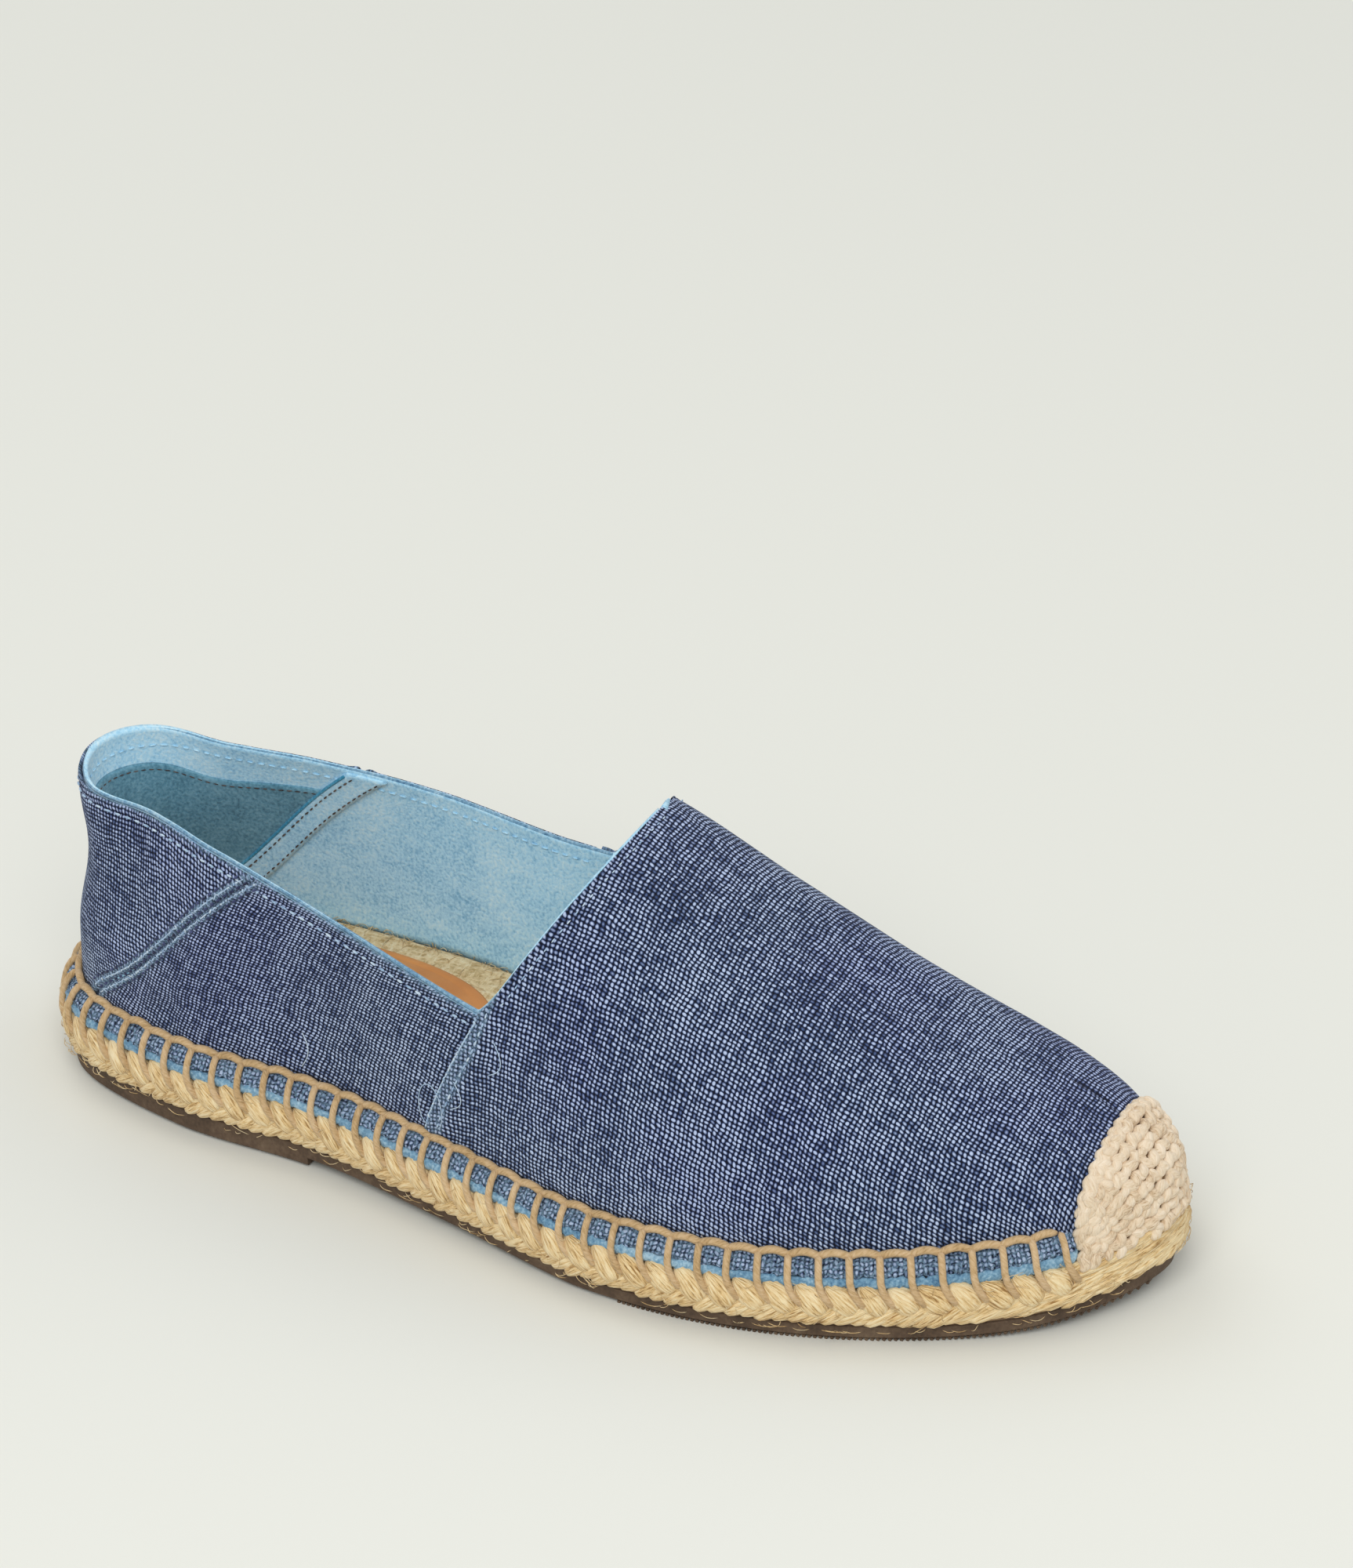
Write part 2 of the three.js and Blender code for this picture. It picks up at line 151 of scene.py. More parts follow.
def mesh_piece(
    name: str,
    points: np.ndarray,
    faces: list | np.ndarray,
    corner_uv: np.ndarray | None = None,
    uv_name: str = "weave",
    values: dict[str, np.ndarray] | None = None,
    edges: list | None = None,
) -> bpy.types.Object:
    """Makes a mesh object from points in millimetres.

    Args:
        name: Name of the piece.
        points: One row of x, y and z for each vertex.
        faces: Vertex numbers of each face.
        corner_uv: UV for each vertex, given to its corners.
        uv_name: Name of the UV map.
        values: Named numbers or vectors for each vertex.
        edges: Vertex pairs, for a line of points.

    Returns:
        The object, at the origin, smooth shaded.
    """
    mesh = bpy.data.meshes.new(name)
    mesh.from_pydata((np.asarray(points, float) * MM).tolist(), edges or [], list(map(tuple, faces)))
    if corner_uv is not None:
        layer = mesh.uv_layers.new(name=uv_name)
        corners = np.empty(len(mesh.loops), dtype=np.int32)
        mesh.loops.foreach_get("vertex_index", corners)
        layer.data.foreach_set("uv", np.asarray(corner_uv, np.float32)[corners].ravel())
    for key, data in (values or {}).items():
        data = np.asarray(data, np.float32)
        if data.ndim == 1:
            layer = mesh.attributes.new(key, "FLOAT", "POINT")
            layer.data.foreach_set("value", data)
        else:
            layer = mesh.attributes.new(key, "FLOAT_VECTOR", "POINT")
            layer.data.foreach_set("vector", data.ravel())
    mesh.polygons.foreach_set("use_smooth", [True] * len(mesh.polygons))
    mesh.update()
    piece = bpy.data.objects.new(name, mesh)
    bpy.context.scene.collection.objects.link(piece)
    return piece


def merge_close(piece: bpy.types.Object, distance: float = 0.01) -> None:
    """Joins vertices nearer than a distance in millimetres and turns every face outwards."""
    import bmesh

    edit = bmesh.new()
    edit.from_mesh(piece.data)
    bmesh.ops.remove_doubles(edit, verts=edit.verts, dist=distance * MM)
    bmesh.ops.recalc_face_normals(edit, faces=edit.faces)
    edit.to_mesh(piece.data)
    edit.free()
    piece.data.polygons.foreach_set("use_smooth", [True] * len(piece.data.polygons))
    piece.data.update()


def hand_over(piece: bpy.types.Object, slot: Slot, *nodes: str) -> None:
    """Ties a finished piece to the body and hides the CAD nodes it stands for."""
    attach(piece, "root")
    if nodes:
        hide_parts(*nodes)
    LOG.info("%s: %d faces", piece.name, len(piece.data.polygons))


# ---------------------------------------------------------------- the last


class Table:
    """A short table of sections with named columns, read smoothly between its rows."""

    def __init__(self, columns: tuple[str, ...], rows: tuple[tuple[float, ...], ...]) -> None:
        """Keeps each column by name; the column "along" says where each row is."""
        self.columns = {name: np.array([row[i] for row in rows]) for i, name in enumerate(columns)}

    def read(self, column: str, along: np.ndarray) -> np.ndarray:
        """Reads one column.

        Args:
            column: Name of the column.
            along: Places along the shoe.

        Returns:
            The column's value at each place.
        """
        at, value = self.columns["along"], self.columns[column]
        place = np.clip(along, at[0], at[-1])
        row = np.clip(np.searchsorted(at, place, side="left") - 1, 0, len(at) - 2)
        index = np.arange(len(at))
        before, after = np.maximum(index - 1, 0), np.minimum(index + 1, len(at) - 1)
        slope = (value[after] - value[before]) / (at[after] - at[before])
        span = at[row + 1] - at[row]
        share = (place - at[row]) / span
        rise = value[row + 1] - value[row]
        pull = (span * slope[row] - rise) * (1 - share) + (rise - span * slope[row + 1]) * share
        return value[row] + rise * share + share * (1 - share) * pull


SOLE_SECTIONS = Table(
    ("along", "outer", "inner"),
    (
        (10, 24.5, 21.5),
        (45, 38, 36.5),
        (85, 40.5, 37),
        (125, 49, 33.5),
        (165, 57.5, 41),
        (203, 55.5, 45),
        (240, 42.5, 44),
        (270, 22.5, 32),
    ),
)
LAST_SECTIONS = Table(
    ("along", "ridge", "side", "fullness", "swell"),
    (
        (0, 118, 0, 3.8, 0),
        (24, 98, 0, 2.0, 0),
        (55, 96, 0, 2.05, 0),
        (90, 98, 4, 2.6, 3),
        (125, 98, 10, 2.2, 6),
        (151, 88.8, 13, 2.1, 6),
        (180, 75.5, 12.5, 2.1, 3),
        (210, 62.5, 12, 2.15, 0),
        (240, 50.5, 11, 2.3, 0),
        (265, 42.3, 10, 2.6, 0),
        (285, 37, 9, 2.8, 0),
    ),
)
COLLAR_EDGE = (
    (-20, 77, 0),
    (5, 77, 0),
    (25, 75, 0),
    (55, 71.5, 0),
    (90, 65.2, 0.02),
    (114, 61, 0.05),
)
THROAT_EDGE = (
    (130, 58.5, 0.07),
    (134, 62.5, 0.05),
    (140, 71.5, 0.02),
    (146.5, 81.5, 0),
    (158, 99, 0),
)


@dataclass
class Last:
    """The shape that the shoe is made on, with the same sizes as the frame's solids.

    A place on the outline is one number, turn: 0 at the back of the heel, up to 1 along the
    outer side to the toe, and up to 2 along the inner side back to the heel. A place on a rib
    is an angle, from 0 at the crease over the sole to a quarter turn at the ridge.
    """

    toe_side: float = 8.0
    crease_inset: float = 5.7
    toe_crease_inset: float = 3.8
    toe_crease_start: float = 258.0
    crease_height: float = 20.8
    spring: float = 5.0
    spring_start: float = 235.0
    heel_rise: float = 2.0
    heel_rise_start: float = 90.0
    ball_start: float = 172.0
    hem_climb: float = 0.15
    tuck: float = 2.4
    tuck_height: float = 57.0
    tuck_reach: float = 20.0
    tuck_end: float = 60.0
    heel_pole: float = 36.0
    toe_pole: float = 246.0
    dense: int = 1800
    tangent_step: float = 1 / 40
    outer_line: np.ndarray = field(init=False, repr=False)
    inner_line: np.ndarray = field(init=False, repr=False)
    centre_side: float = field(init=False)

    def __post_init__(self) -> None:
        """Draws the outline and finds the middle of its box."""
        column = SOLE_SECTIONS.columns
        outer = np.stack([-column["outer"], column["along"]], -1)
        inner = np.stack([column["inner"], column["along"]], -1)[::-1]
        toe = [[self.toe_side, SOLE_LENGTH]]
        line = self.closed_curve(np.concatenate([[[0.0, 0.0]], outer, toe, inner]))
        half = self.dense // 2
        self.outer_line, self.inner_line = line[: half + 1], line[half:]
        side = self.outline(np.arange(80) / 40)[:, 0]
        self.centre_side = (side.min() + side.max()) / 2

    def closed_curve(self, knots: np.ndarray) -> np.ndarray:
        """Draws a closed centripetal curve through points.

        Args:
            knots: Points in plan.

        Returns:
            Dense points of the curve, the first one again at the end.
        """
        count = len(knots)
        place = count * np.arange(self.dense + 1) / self.dense
        first = np.floor(place).astype(int)
        t = (place - first)[:, None]
        p0, p1, p2, p3 = (knots[(first + k) % count] for k in (-1, 0, 1, 2))
        d0, d1, d2 = (
            ((b - a) ** 2).sum(-1, keepdims=True) ** 0.25 for a, b in ((p0, p1), (p1, p2), (p2, p3))
        )
        pull1 = ((p1 - p0) / d0 - (p2 - p0) / (d0 + d1) + (p2 - p1) / d1) * d1
        pull2 = ((p2 - p1) / d1 - (p3 - p1) / (d1 + d2) + (p3 - p2) / d2) * d1
        square = -3 * p1 + 3 * p2 - 2 * pull1 - pull2
        return p1 + pull1 * t + square * t**2 + (2 * p1 - 2 * p2 + pull1 + pull2) * t**3

    def outline(self, turn: np.ndarray) -> np.ndarray:
        """The rope sole's outline in plan.

        Args:
            turn: Places round the outline.

        Returns:
            Side and along at each place.
        """
        turn = np.mod(turn, 2.0)
        result = np.empty(np.shape(turn) + (2,))
        for line, start in ((self.outer_line, 0.0), (self.inner_line, 1.0)):
            gone = travelled(line)
            inside = (turn >= start) & (turn < start + 1)
            want = (turn[inside] - start) * gone[-1]
            result[inside] = np.stack([np.interp(want, gone, line[:, k]) for k in (0, 1)], -1)
        return result

    def inward(self, turn: np.ndarray) -> np.ndarray:
        """Direction into the shoe in plan, at places round the outline."""
        step = self.tangent_step
        tangent = unit(self.outline(turn + step) - self.outline(turn - step))
        return np.stack([tangent[..., 1], -tangent[..., 0]], -1)

    def toe_lift(self, along: np.ndarray) -> np.ndarray:
        """Toe spring: how far the rubber's underside is off the floor."""
        share = np.maximum(along - self.spring_start, 0) / (SOLE_LENGTH - self.spring_start)
        return self.spring * share**2

    def lift(self, along: np.ndarray) -> np.ndarray:
        """Lift of everything on top of the rubber, which is thicker under the heel."""
        rise = 1 - smoothstep(along, self.heel_rise_start, self.ball_start)
        return self.toe_lift(along) + self.heel_rise * rise

    def place(self, plan: np.ndarray, height: np.ndarray) -> np.ndarray:
        """Puts side, along and height into the part's own frame."""
        return np.stack(
            [plan[..., 0] - self.centre_side, SOLE_LENGTH / 2 - plan[..., 1], height], -1
        )

    def ring(self, turn: np.ndarray, inset: np.ndarray, height: np.ndarray) -> np.ndarray:
        """Points round the sole.

        Args:
            turn: Places round the outline.
            inset: How far in from the outline.
            height: Height over the sprung floor.

        Returns:
            Points in the part's frame.
        """
        plan = self.outline(turn) + self.inward(turn) * np.asarray(inset)[..., None]
        return self.place(plan, height + self.lift(plan[..., 1]))

    def side_ring(self, turn: np.ndarray, inset: np.ndarray, height: np.ndarray) -> np.ndarray:
        """Points on the rope's side, where the plait and the hem climb a little at the toe.

        Args:
            turn: Places round the outline.
            inset: How far in from the outline.
            height: Height over the rope's foot.

        Returns:
            Points in the part's frame.
        """
        climb = 1 + self.hem_climb * smoothstep(self.outline(turn)[..., 1], 205.0, 268.0)
        return self.ring(turn, np.broadcast_to(inset, np.shape(turn)), ROPE_FOOT + height * climb)

    def spine(self, turn: np.ndarray) -> np.ndarray:
        """Where the rib of each place ends on the ridge, in plan."""
        middle = (self.outline(turn)[..., 1] + self.outline(2 - turn)[..., 1]) / 2
        along = np.clip(middle, self.heel_pole, self.toe_pole)
        return np.stack([LAST_SECTIONS.read("side", along), along], -1)

    def crease_in(self, along: np.ndarray) -> np.ndarray:
        """How far in from the outline the crease runs."""
        share = smoothstep(along, self.toe_crease_start, SOLE_LENGTH)
        return self.crease_inset + (self.toe_crease_inset - self.crease_inset) * share

    def point(self, turn: np.ndarray, angle: np.ndarray, grow: np.ndarray) -> np.ndarray:
        """The upper's own surface.

        Args:
            turn: Places round the outline.
            angle: Places up each rib.
            grow: How far the surface moves out, or in when negative.

        Returns:
            Points in the part's frame.
        """
        turn, angle, grow = np.broadcast_arrays(
            np.asarray(turn, float), np.asarray(angle, float), np.asarray(grow, float)
        )
        outline, inward = self.outline(turn), self.inward(turn)
        foot = outline + inward * (self.crease_in(outline[..., 1]) - grow)[..., None]
        power = 2 / LAST_SECTIONS.read("fullness", outline[..., 1])
        inwards = 1 - np.clip(np.cos(angle), 0, 1) ** power
        upwards = np.clip(np.sin(angle), 0, 1) ** power
        at = foot + (self.spine(turn) - foot) * inwards[..., None]
        crease = self.crease_height + self.lift(foot[..., 1])
        ridge = LAST_SECTIONS.read("ridge", at[..., 1]) + grow
        height = crease + (ridge - crease) * upwards
        swell = LAST_SECTIONS.read("swell", at[..., 1]) * np.sin(2 * angle)
        swell = np.where(np.mod(turn, 2) > 1, swell, 0)
        reach = np.clip(np.abs(height - self.tuck_height) / self.tuck_reach, 0, 1)
        rear = 1 - smoothstep(foot[..., 1], 0, self.tuck_end)
        tuck = self.tuck * rear * (1 - reach**2) ** 2
        return self.place(at + inward * (tuck - swell)[..., None], height)

    def edge_height(self, points: np.ndarray) -> np.ndarray:
        """Height of the collar's or the throat's edge over or under each point."""
        along = SOLE_LENGTH / 2 - points[..., 1]
        lines = [self.open_curve(COLLAR_EDGE + THROAT_EDGE[:1]), self.open_curve(THROAT_EDGE)[1:]]
        edge = np.concatenate(lines)
        tilt = Table(("along", "height", "tilt"), COLLAR_EDGE + THROAT_EDGE).read("tilt", along)
        return np.interp(along, edge[:, 0], edge[:, 1]) + tilt * points[..., 0]

    @staticmethod
    def open_curve(rows: tuple[tuple[float, ...], ...], steps: int = 240) -> np.ndarray:
        """A smooth open curve through the along and height of each row."""
        knots = np.array([row[:2] for row in rows], float)
        last = len(knots) - 1
        place = last * np.arange(steps + 1) / steps
        first = np.minimum(place.astype(int), last - 1)
        t = (place - first)[:, None]
        p0, p1 = knots[np.maximum(first - 1, 0)], knots[first]
        p2, p3 = knots[first + 1], knots[np.minimum(first + 2, last)]
        v0, v1 = (p2 - p0) / 2, (p3 - p1) / 2
        return (2 * p1 - 2 * p2 + v0 + v1) * t**3 + (3 * p2 - 3 * p1 - 2 * v0 - v1) * t**2 + v0 * t + p1

    def top_angle(
        self, turn: np.ndarray, grow: float = 0.0, down: float = 0.0, ahead: float = 0.0
    ) -> np.ndarray:
        """Where each rib meets the collar's or the throat's edge, or a line beside it.

        Args:
            turn: Places round the outline.
            grow: Which surface, out or in from the upper's own.
            down: How far the line is below the edge.
            ahead: How far the line is in front of the edge.

        Returns:
            The angle at the edge, or a quarter turn where the rib is closed at the ridge.
        """
        flat = np.ravel(turn)
        angle = np.linspace(0, np.pi / 2, 361)
        points = self.point(flat[:, None], angle[None, :], grow)
        over = points[..., 2] + down - self.edge_height(points + (0, ahead, 0))
        hit = (over[:, 1:] >= 0) & (over[:, :-1] < 0)
        first = hit.argmax(1)
        rows = np.arange(len(flat))
        low, high = over[rows, first], over[rows, first + 1]
        share = -low / np.where(high == low, 1, high - low)
        found = angle[first] + (angle[first + 1] - angle[first]) * share
        return np.where(hit.any(1), found, np.pi / 2).reshape(np.shape(turn))

    def throat_turn(self, ahead: float = 0.0) -> float:
        """The place round the outline whose rib just reaches the ridge at the throat."""
        low, high = 0.45, 0.6
        for _ in range(30):
            middle = (low + high) / 2
            closed = self.top_angle(np.array([middle]), ahead=ahead)[0] >= np.pi / 2 - 1e-9
            low, high = (low, middle) if closed else (middle, high)
        return high

    def normals(self, turn: np.ndarray, angle: np.ndarray, grow: float = 0.0) -> np.ndarray:
        """Outward directions of the upper's surface at places on it."""
        step = 1e-3
        mid = np.clip(angle, step * 2, np.pi / 2 - step * 2)
        across = self.point(turn + step, mid, grow) - self.point(turn - step, mid, grow)
        up = self.point(turn, mid + step, grow) - self.point(turn, mid - step, grow)
        return unit(np.cross(across, up))


# ---------------------------------------------------------------- repeats and threads


class Repeater:
    """Sets one shape on every point of a mesh, with Geometry Nodes.

    The points carry "run" (the shape's long axis, Z), "out" (its outer side, X) and "size"
    (its scale on each axis).
    """

    def __init__(self) -> None:
        """Builds the tree."""
        tree = bpy.data.node_groups.new("repeat on points", "GeometryNodeTree")
        face = tree.interface
        face.new_socket("Geometry", in_out="OUTPUT", socket_type="NodeSocketGeometry")
        face.new_socket("Geometry", in_out="INPUT", socket_type="NodeSocketGeometry")
        face.new_socket("Shape", in_out="INPUT", socket_type="NodeSocketObject")
        face.new_socket("Turn Jitter", in_out="INPUT", socket_type="NodeSocketFloat")
        face.new_socket("Size Jitter", in_out="INPUT", socket_type="NodeSocketFloat")
        face.new_socket("Seed", in_out="INPUT", socket_type="NodeSocketInt")
        face.new_socket("Material", in_out="INPUT", socket_type="NodeSocketMaterial")
        given = add_node(tree, "NodeGroupInput")
        shape = add_node(tree, "GeometryNodeObjectInfo", {}, {"Object": given.outputs["Shape"]})
        run, out, size = (
            add_node(
                tree, "GeometryNodeInputNamedAttribute", {"data_type": "FLOAT_VECTOR", "Name": key}
            )
            for key in ("run", "out", "size")
        )
        along = add_node(tree, "FunctionNodeAlignRotationToVector", {"axis": "Z"}, {"Vector": run})
        facing = add_node(
            tree,
            "FunctionNodeAlignRotationToVector",
            {"axis": "X", "pivot_axis": "Z"},
            {"Rotation": along, "Vector": out},
        )
        minus = add_node(
            tree, "ShaderNodeMath", {"operation": "MULTIPLY", 1: -1.0}, {0: given.outputs["Turn Jitter"]}
        )
        wobble = add_node(
            tree,
            "FunctionNodeRandomValue",
            {"data_type": "FLOAT_VECTOR"},
            {"Min": minus, "Max": given.outputs["Turn Jitter"], "Seed": given.outputs["Seed"]},
        )
        turned = add_node(
            tree,
            "FunctionNodeRotateRotation",
            {"rotation_space": "LOCAL"},
            {
                "Rotation": facing,
                "Rotate By": add_node(tree, "FunctionNodeEulerToRotation", {}, {0: wobble}),
            },
        )
        smaller = add_node(
            tree, "ShaderNodeMath", {"operation": "SUBTRACT", 0: 1.0}, {1: given.outputs["Size Jitter"]}
        )
        bigger = add_node(
            tree, "ShaderNodeMath", {"operation": "ADD", 0: 1.0}, {1: given.outputs["Size Jitter"]}
        )
        swing = add_node(
            tree,
            "FunctionNodeRandomValue",
            {"data_type": "FLOAT_VECTOR"},
            {"Min": smaller, "Max": bigger, "Seed": given.outputs["Seed"]},
        )
        scale = add_node(tree, "ShaderNodeVectorMath", {"operation": "MULTIPLY"}, {0: size, 1: swing})
        copies = add_node(
            tree,
            "GeometryNodeInstanceOnPoints",
            {},
            {
                "Points": given.outputs["Geometry"],
                "Instance": shape.outputs["Geometry"],
                "Rotation": turned,
                "Scale": scale,
            },
        )
        shade = add_node(
            tree, "FunctionNodeRandomValue", {"data_type": "FLOAT"}, {"Seed": given.outputs["Seed"]}
        )
        marked = add_node(
            tree,
            "GeometryNodeStoreNamedAttribute",
            {"data_type": "FLOAT", "domain": "INSTANCE", "Name": "tint"},
            {"Geometry": copies, "Value": shade.outputs[1]},
        )
        real = add_node(tree, "GeometryNodeRealizeInstances", {}, {"Geometry": marked})
        dressed = add_node(
            tree,
            "GeometryNodeSetMaterial",
            {},
            {"Geometry": real, "Material": given.outputs["Material"]},
        )
        add_node(tree, "NodeGroupOutput", {}, {"Geometry": dressed})
        self.tree = tree

    def lay(
        self,
        name: str,
        points: np.ndarray,
        run: np.ndarray,
        out: np.ndarray,
        size: np.ndarray,
        shape: bpy.types.Object,
        material: bpy.types.Material,
        turn_jitter: float = 0.0,
        size_jitter: float = 0.0,
        seed: int = 1,
    ) -> bpy.types.Object:
        """Lays a row or field of copies.

        Args:
            name: Name of the piece.
            points: Where the copies sit.
            run: Direction of each copy's long axis.
            out: Direction of each copy's outer side.
            size: Scale of each copy on its own three axes.
            shape: The shape that is copied; it is left out of the scene afterwards.
            material: Finish of the copies.
            turn_jitter: Largest random turn, in radians.
            size_jitter: Largest random change of size, as a share.
            seed: Seed of both.

        Returns:
            One plain mesh of all the copies.
        """
        holder = mesh_piece(
            name, points, [], values={"run": run, "out": out, "size": np.asarray(size) * 1.0}
        )
        inputs = {
            "Shape": shape,
            "Turn Jitter": turn_jitter,
            "Size Jitter": size_jitter,
            "Seed": seed,
            "Material": material,
        }
        return bake_tree(holder, self.tree, inputs, material)


class Winder:
    """Winds a round thread along the lines of a mesh, with Geometry Nodes.

    The line's points carry "thick", the thread's radius. The mesh gets a UV map named fibre:
    round the thread and along it, in millimetres.
    """

    def __init__(self) -> None:
        """Builds the tree."""
        tree = bpy.data.node_groups.new("thread on lines", "GeometryNodeTree")
        face = tree.interface
        face.new_socket("Geometry", in_out="OUTPUT", socket_type="NodeSocketGeometry")
        face.new_socket("Geometry", in_out="INPUT", socket_type="NodeSocketGeometry")
        face.new_socket("Sides", in_out="INPUT", socket_type="NodeSocketInt")
        face.new_socket("Round", in_out="INPUT", socket_type="NodeSocketFloat")
        face.new_socket("Seed", in_out="INPUT", socket_type="NodeSocketInt")
        face.new_socket("Material", in_out="INPUT", socket_type="NodeSocketMaterial")
        given = add_node(tree, "NodeGroupInput")
        line = add_node(
            tree, "GeometryNodeMeshToCurve", {}, {"Mesh": given.outputs["Geometry"]}
        )
        shade = add_node(
            tree,
            "FunctionNodeRandomValue",
            {"data_type": "FLOAT"},
            {"Seed": given.outputs["Seed"]},
        )
        marked = add_node(
            tree,
            "GeometryNodeStoreNamedAttribute",
            {"data_type": "FLOAT", "domain": "CURVE", "Name": "tint"},
            {"Geometry": line, "Value": shade.outputs[1]},
        )
        thick = add_node(
            tree, "GeometryNodeInputNamedAttribute", {"data_type": "FLOAT", "Name": "thick"}
        )
        gone = add_node(tree, "GeometryNodeSplineParameter")
        held = add_node(tree, "GeometryNodeCaptureAttribute", {}, {"Geometry": marked})
        held.capture_items.new("FLOAT", "Gone")
        tree.links.new(gone.outputs["Length"], held.inputs["Gone"])
        ring = add_node(
            tree,
            "GeometryNodeCurveArc",
            {"mode": "RADIUS", "Radius": 1.0, "Start Angle": 0.0, "Sweep Angle": 2 * np.pi},
            {"Resolution": given.outputs["Sides"]},
        )
        around = add_node(tree, "GeometryNodeSplineParameter")
        kept = add_node(tree, "GeometryNodeCaptureAttribute", {}, {"Geometry": ring.outputs["Curve"]})
        kept.capture_items.new("FLOAT", "Around")
        tree.links.new(around.outputs["Factor"], kept.inputs["Around"])
        tube = add_node(
            tree,
            "GeometryNodeCurveToMesh",
            {},
            {
                "Curve": held.outputs["Geometry"],
                "Profile Curve": kept.outputs["Geometry"],
                "Scale": thick,
            },
        )
        wide = add_node(
            tree,
            "ShaderNodeMath",
            {"operation": "MULTIPLY"},
            {0: kept.outputs["Around"], 1: given.outputs["Round"]},
        )
        deep = add_node(
            tree, "ShaderNodeMath", {"operation": "MULTIPLY", 1: 1 / MM}, {0: held.outputs["Gone"]}
        )
        pair = add_node(tree, "ShaderNodeCombineXYZ", {}, {0: wide, 1: deep})
        mapped = add_node(
            tree,
            "GeometryNodeStoreNamedAttribute",
            {"data_type": "FLOAT2", "domain": "CORNER", "Name": "fibre"},
            {"Geometry": tube, "Value": pair},
        )
        closed = add_node(
            tree, "GeometryNodeMergeByDistance", {"Distance": 0.00003}, {"Geometry": mapped}
        )
        smooth = add_node(tree, "GeometryNodeSetShadeSmooth", {}, {"Geometry": closed})
        real = add_node(tree, "GeometryNodeRealizeInstances", {}, {"Geometry": smooth})
        dressed = add_node(
            tree,
            "GeometryNodeSetMaterial",
            {},
            {"Geometry": real, "Material": given.outputs["Material"]},
        )
        add_node(tree, "NodeGroupOutput", {}, {"Geometry": dressed})
        self.tree = tree

    def wind(
        self,
        name: str,
        lines: list[np.ndarray],
        radius: float,
        material: bpy.types.Material,
        sides: int = 8,
        ends: float = 1.0,
        seed: int = 1,
    ) -> bpy.types.Object:
        """Winds one thread along each line.

        Args:
            name: Name of the piece.
            lines: Points of each line.
            radius: Radius of the thread.
            material: Finish of the thread.
            sides: Faces round the thread.
            ends: Length over which both ends thin out to nothing.
            seed: Seed of the shades.

        Returns:
            One plain mesh of all the threads, closed at both ends.
        """
        points, edges, thick, start = [], [], [], 0
        for line in lines:
            gone = travelled(line)
            near = np.minimum(gone, gone[-1] - gone) / max(ends, 1e-6)
            thick.append(np.maximum(radius * np.sqrt(np.clip(near, 0, 1)), 0.005))
            points.append(line)
            edges += [(start + k, start + k + 1) for k in range(len(line) - 1)]
            start += len(line)
        holder = mesh_piece(
            name,
            np.concatenate(points),
            [],
            edges=edges,
            values={"thick": np.concatenate(thick) * MM},
        )
        inputs = {
            "Sides": sides + 1,
            "Round": 2 * np.pi * radius,
            "Seed": seed,
            "Material": material,
        }
        piece = bake_tree(holder, self.tree, inputs, material)
        merge_close(piece, 0.012)
        return piece


def bake_tree(
    holder: bpy.types.Object,
    tree: bpy.types.NodeTree,
    inputs: dict[str, object],
    material: bpy.types.Material,
) -> bpy.types.Object:
    """Runs a Geometry Nodes tree on a holder and keeps the result as a plain mesh.

    Args:
        holder: Object whose mesh the tree reads.
        tree: The tree.
        inputs: Value of each named input.
        material: Finish of the result.

    Returns:
        The holder, with the result as its own mesh and no modifier.
    """
    modifier = holder.modifiers.new("maker", "NODES")
    modifier.node_group = tree
    for item in tree.interface.items_tree:
        if item.item_type == "SOCKET" and item.in_out == "INPUT" and item.name in inputs:
            modifier[item.identifier] = inputs[item.name]
    holder.update_tag()
    graph = bpy.context.evaluated_depsgraph_get()
    graph.update()
    result = bpy.data.meshes.new_from_object(holder.evaluated_get(graph))
    holder.modifiers.remove(modifier)
    holder.data = result
    result.name = holder.name
    if not result.materials:
        result.materials.append(material)
    return holder


@dataclass(frozen=True)
class Stitch:
    """Sizes of one stitch in a row."""

    pitch: float = 2.6
    length: float = 1.8
    width: float = 0.55
    depth: float = 0.5
    sink: float = 0.05
    stray: float = 0.07


@dataclass
class Needle:
    """Sews rows of short stitches along lines on the shoe."""

    repeater: Repeater

    def sew(
        self,
        name: str,
        rows: list[tuple[np.ndarray, np.ndarray]],
        thread: bpy.types.Material,
        stitch: Stitch,
    ) -> None:
        """Sews one piece of stitching and hands it over.

        Args:
            name: Name of the piece.
            rows: Points and outward directions of each row.
            thread: Finish of the thread.
            stitch: Sizes of a stitch.
        """
        points, runs, outs = [], [], []
        for line, out in rows:
            gone = travelled(line)
            at = np.arange(stitch.pitch, gone[-1] - stitch.pitch / 2, stitch.pitch)
            here = sample(line, gone, at)
            facing = unit(sample(out, gone, at))
            points.append(here + facing * (stitch.depth / 2 - stitch.sink))
            runs.append(unit(sample(line, gone, at + 0.5) - here))
            outs.append(facing)
        points = np.concatenate(points)
        shape = strand_shape(f"{name}_shape", stitch.length, stitch.width, stitch.depth, 0.5, 0, 6, 4)
        piece = self.repeater.lay(
            name, points, np.concatenate(runs), np.concatenate(outs), np.ones((len(points), 3)),
            shape, thread, stitch.stray, 0.1 + stitch.stray / 2, 7,
        )
        hand_over(piece, Slot.SEWING)


